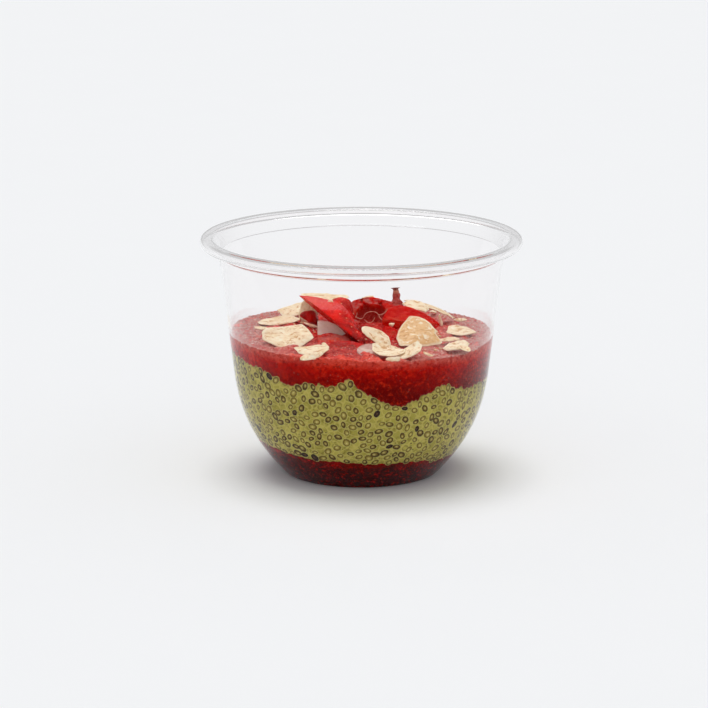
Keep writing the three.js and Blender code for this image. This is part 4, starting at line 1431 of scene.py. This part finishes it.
class BuildAlmonds(bpy.types.Operator):
    """Shapes the almond flakes"""

    bl_idname = "pudding.almonds"
    bl_label = "Almond flakes"

    def execute(self, context):
        finish = almond()
        for name, spec in FLAKES.items():
            finish_piece(flake_piece(name + "_slice", spec), finish, [name])
        random = np.random.default_rng(31)
        bits = []
        for number, (size, centre, along, face, thickness) in enumerate(BITS):
            spec = {"outline": bit_outline(random, size), "centre": centre, "along": along, "face": face,
                    "curl": 0.2, "thickness": thickness}
            bits.append(flake_piece(f"almond_bit_{number}", spec, 40, 12))
        finish_piece(join_pieces(bits, "almond_bits"), finish)
        finish_piece(self.crumbs(context, random), finish)
        return {"FINISHED"}

    def crumbs(self, context, random):
        """Fine crumbs lying on the puree, most of them near the flakes on the right."""
        deselect_all()
        bpy.ops.mesh.primitive_ico_sphere_add(subdivisions=2, radius=1)
        grain = named("crumb_shape")
        points = coordinates(grain) * MM
        swell = np.array([1 + 0.35 * noise.noise(Vector(point) * 1.7) for point in points])
        set_coordinates(grain, points * swell[:, None] * (1, 0.7, 0.45))
        matrices, tones = [], []
        for _ in range(context.scene.pudding_fillings.crumb_count):
            degrees, out = random.uniform(-180, 180), random.uniform(12, 36)
            if random.uniform() < 0.5:
                degrees, out = random.normal(-40, 22), random.uniform(20, 36)
            x, y = round_axis(degrees, out)
            size = random.uniform(0.2, 0.75)
            matrix = placed((x, y, puree_surface(x, y) + 0.1), random.normal(0, 1, 3), (0.3, -0.2, 1))
            matrices.append(matrix @ Matrix.Scale(size, 4))
            tones.append(random.uniform())
        return joined_copies(context, "almond_crumbs", grain, matrices, {"rim": np.array(tones) * 0.9})


class BuildFibres(bpy.types.Operator):
    """Hangs the pale fibres across the open berry and stands up the stalk"""

    bl_idname = "pudding.fibres"
    bl_label = "Fibres and stalk"

    def execute(self, context):
        finish = fibre()
        pieces = []
        for number, points in enumerate(FIBRES):
            data = bpy.data.curves.new(f"fibre_{number}", "CURVE")
            data.dimensions = "3D"
            data.bevel_depth = FIBRE_RADIUS * MM
            data.bevel_resolution = 3
            data.resolution_u = 10
            data.use_fill_caps = True
            spline = data.splines.new("BEZIER")
            spline.bezier_points.add(len(points) - 1)
            for handle, point in zip(spline.bezier_points, points):
                handle.co = Vector(point) * MM
                handle.handle_left_type = handle.handle_right_type = "AUTO"
                handle.radius = 0.7 + 0.5 * abs(noise.noise(Vector(point)))
            piece = bpy.data.objects.new(f"fibre_{number}", data)
            context.collection.objects.link(piece)
            make_active(piece)
            bpy.ops.object.convert(target="MESH")
            pieces.append(context.object)
        finish_piece(join_pieces(pieces, "berry_fibres"), finish)
        finish_piece(self.stalk(), stalk_skin(), ["strawberry_stalk"])
        return {"FINISHED"}

    def stalk(self):
        """Knobbly little stalk, widest at its foot, with a flat cap."""
        rise = Vector(STALK["top"]) - Vector(STALK["foot"])
        piece, ball = unit_ball("stalk", 40, 48)
        along = (ball[:, 2] + 1) / 2
        reach = np.interp(along, [0, 0.05, 0.3, 0.5, 0.74, 0.88, 0.95, 0.98, 1],
                          [0, 2.5, 1.8, 1.15, 1.0, 0.75, 0.85, STALK["cap"], 0]) * STALK["radius"]
        turn = np.arctan2(ball[:, 1], ball[:, 0])
        knobs = np.array([noise.fractal(Vector((math.cos(t) * 1.6, math.sin(t) * 1.6, a * 6)), 0.9, 2, 3)
                          for t, a in zip(turn, along)])
        reach = reach * (1 + 0.3 * knobs)
        around = [reach * np.cos(turn), reach * np.sin(turn)]
        set_coordinates(piece, np.column_stack([*around, along * rise.length]))
        set_attribute(piece, "along", along)
        piece.data.transform(placed(STALK["foot"], (1, 0, 0), rise))
        return piece


class BuildFroth(bpy.types.Operator):
    """Scatters fine bubbles over the puree, most of them near the wall"""

    bl_idname = "pudding.froth"
    bl_label = "Froth"

    def execute(self, context):
        random = np.random.default_rng(51)
        bubble, _ = unit_ball("bubble_shape", 8, 6)
        matrices, tones = [], []
        while len(matrices) < context.scene.pudding_fillings.bubble_count:
            out = FROTH_RADIUS * math.sqrt(random.uniform(0.1, 1))
            degrees = random.uniform(-180, 180)
            x, y = round_axis(degrees, out)
            if noise.noise(Vector((x / 5, y / 5, 9))) + 0.5 * smooth(out, 24, 36) < 0.1:
                continue
            size = 0.09 + 0.2 * random.uniform() ** 2.5
            matrix = placed((x, y, puree_surface(x, y) + 0.1 * size), (1, 0, 0), (0, 0, 1))
            matrices.append(matrix @ Matrix.Diagonal((size * MM, size * MM, 0.7 * size * MM, 1)))
            tones.append(random.uniform())
        froth = joined_copies(context, "froth_bubbles", bubble, matrices, {"tone": tones})
        finish_piece(froth, froth_skin())
        return {"FINISHED"}


class PuddingPanel(bpy.types.Panel):
    """Lists the settings and the steps that build the pot"""

    bl_idname = "VIEW3D_PT_pudding_pot"
    bl_label = "Pudding Pot"
    bl_space_type = "VIEW_3D"
    bl_region_type = "UI"
    bl_category = "Pudding Pot"

    def draw(self, context):
        for group in (context.scene.pudding_stage, context.scene.pudding_fillings):
            box = self.layout.box()
            for name in group.bl_rna.properties.keys():
                if name not in ("name", "rna_type"):
                    box.prop(group, name)
        for step in STEPS:
            self.layout.operator(step.bl_idname)


SETTINGS = (PuddingStage, PuddingFillings)
STEPS = (
    BuildStage, BuildPot, BuildLowerPuree, BuildChiaPudding, BuildChiaSeeds, BuildTopPuree, BuildBerries,
    BuildAlmonds, BuildFibres, BuildFroth,
)


def register():
    for part in (*SETTINGS, *STEPS, PuddingPanel):
        bpy.utils.register_class(part)
    bpy.types.Scene.pudding_stage = bpy.props.PointerProperty(type=PuddingStage)
    bpy.types.Scene.pudding_fillings = bpy.props.PointerProperty(type=PuddingFillings)


def unregister():
    del bpy.types.Scene.pudding_fillings
    del bpy.types.Scene.pudding_stage
    for part in reversed((*SETTINGS, *STEPS, PuddingPanel)):
        bpy.utils.unregister_class(part)


def main():
    """Builds everything in order."""
    register()
    for step in STEPS:
        group, name = step.bl_idname.split(".")
        getattr(getattr(bpy.ops, group), name)()


if __name__ == "__main__":
    main()
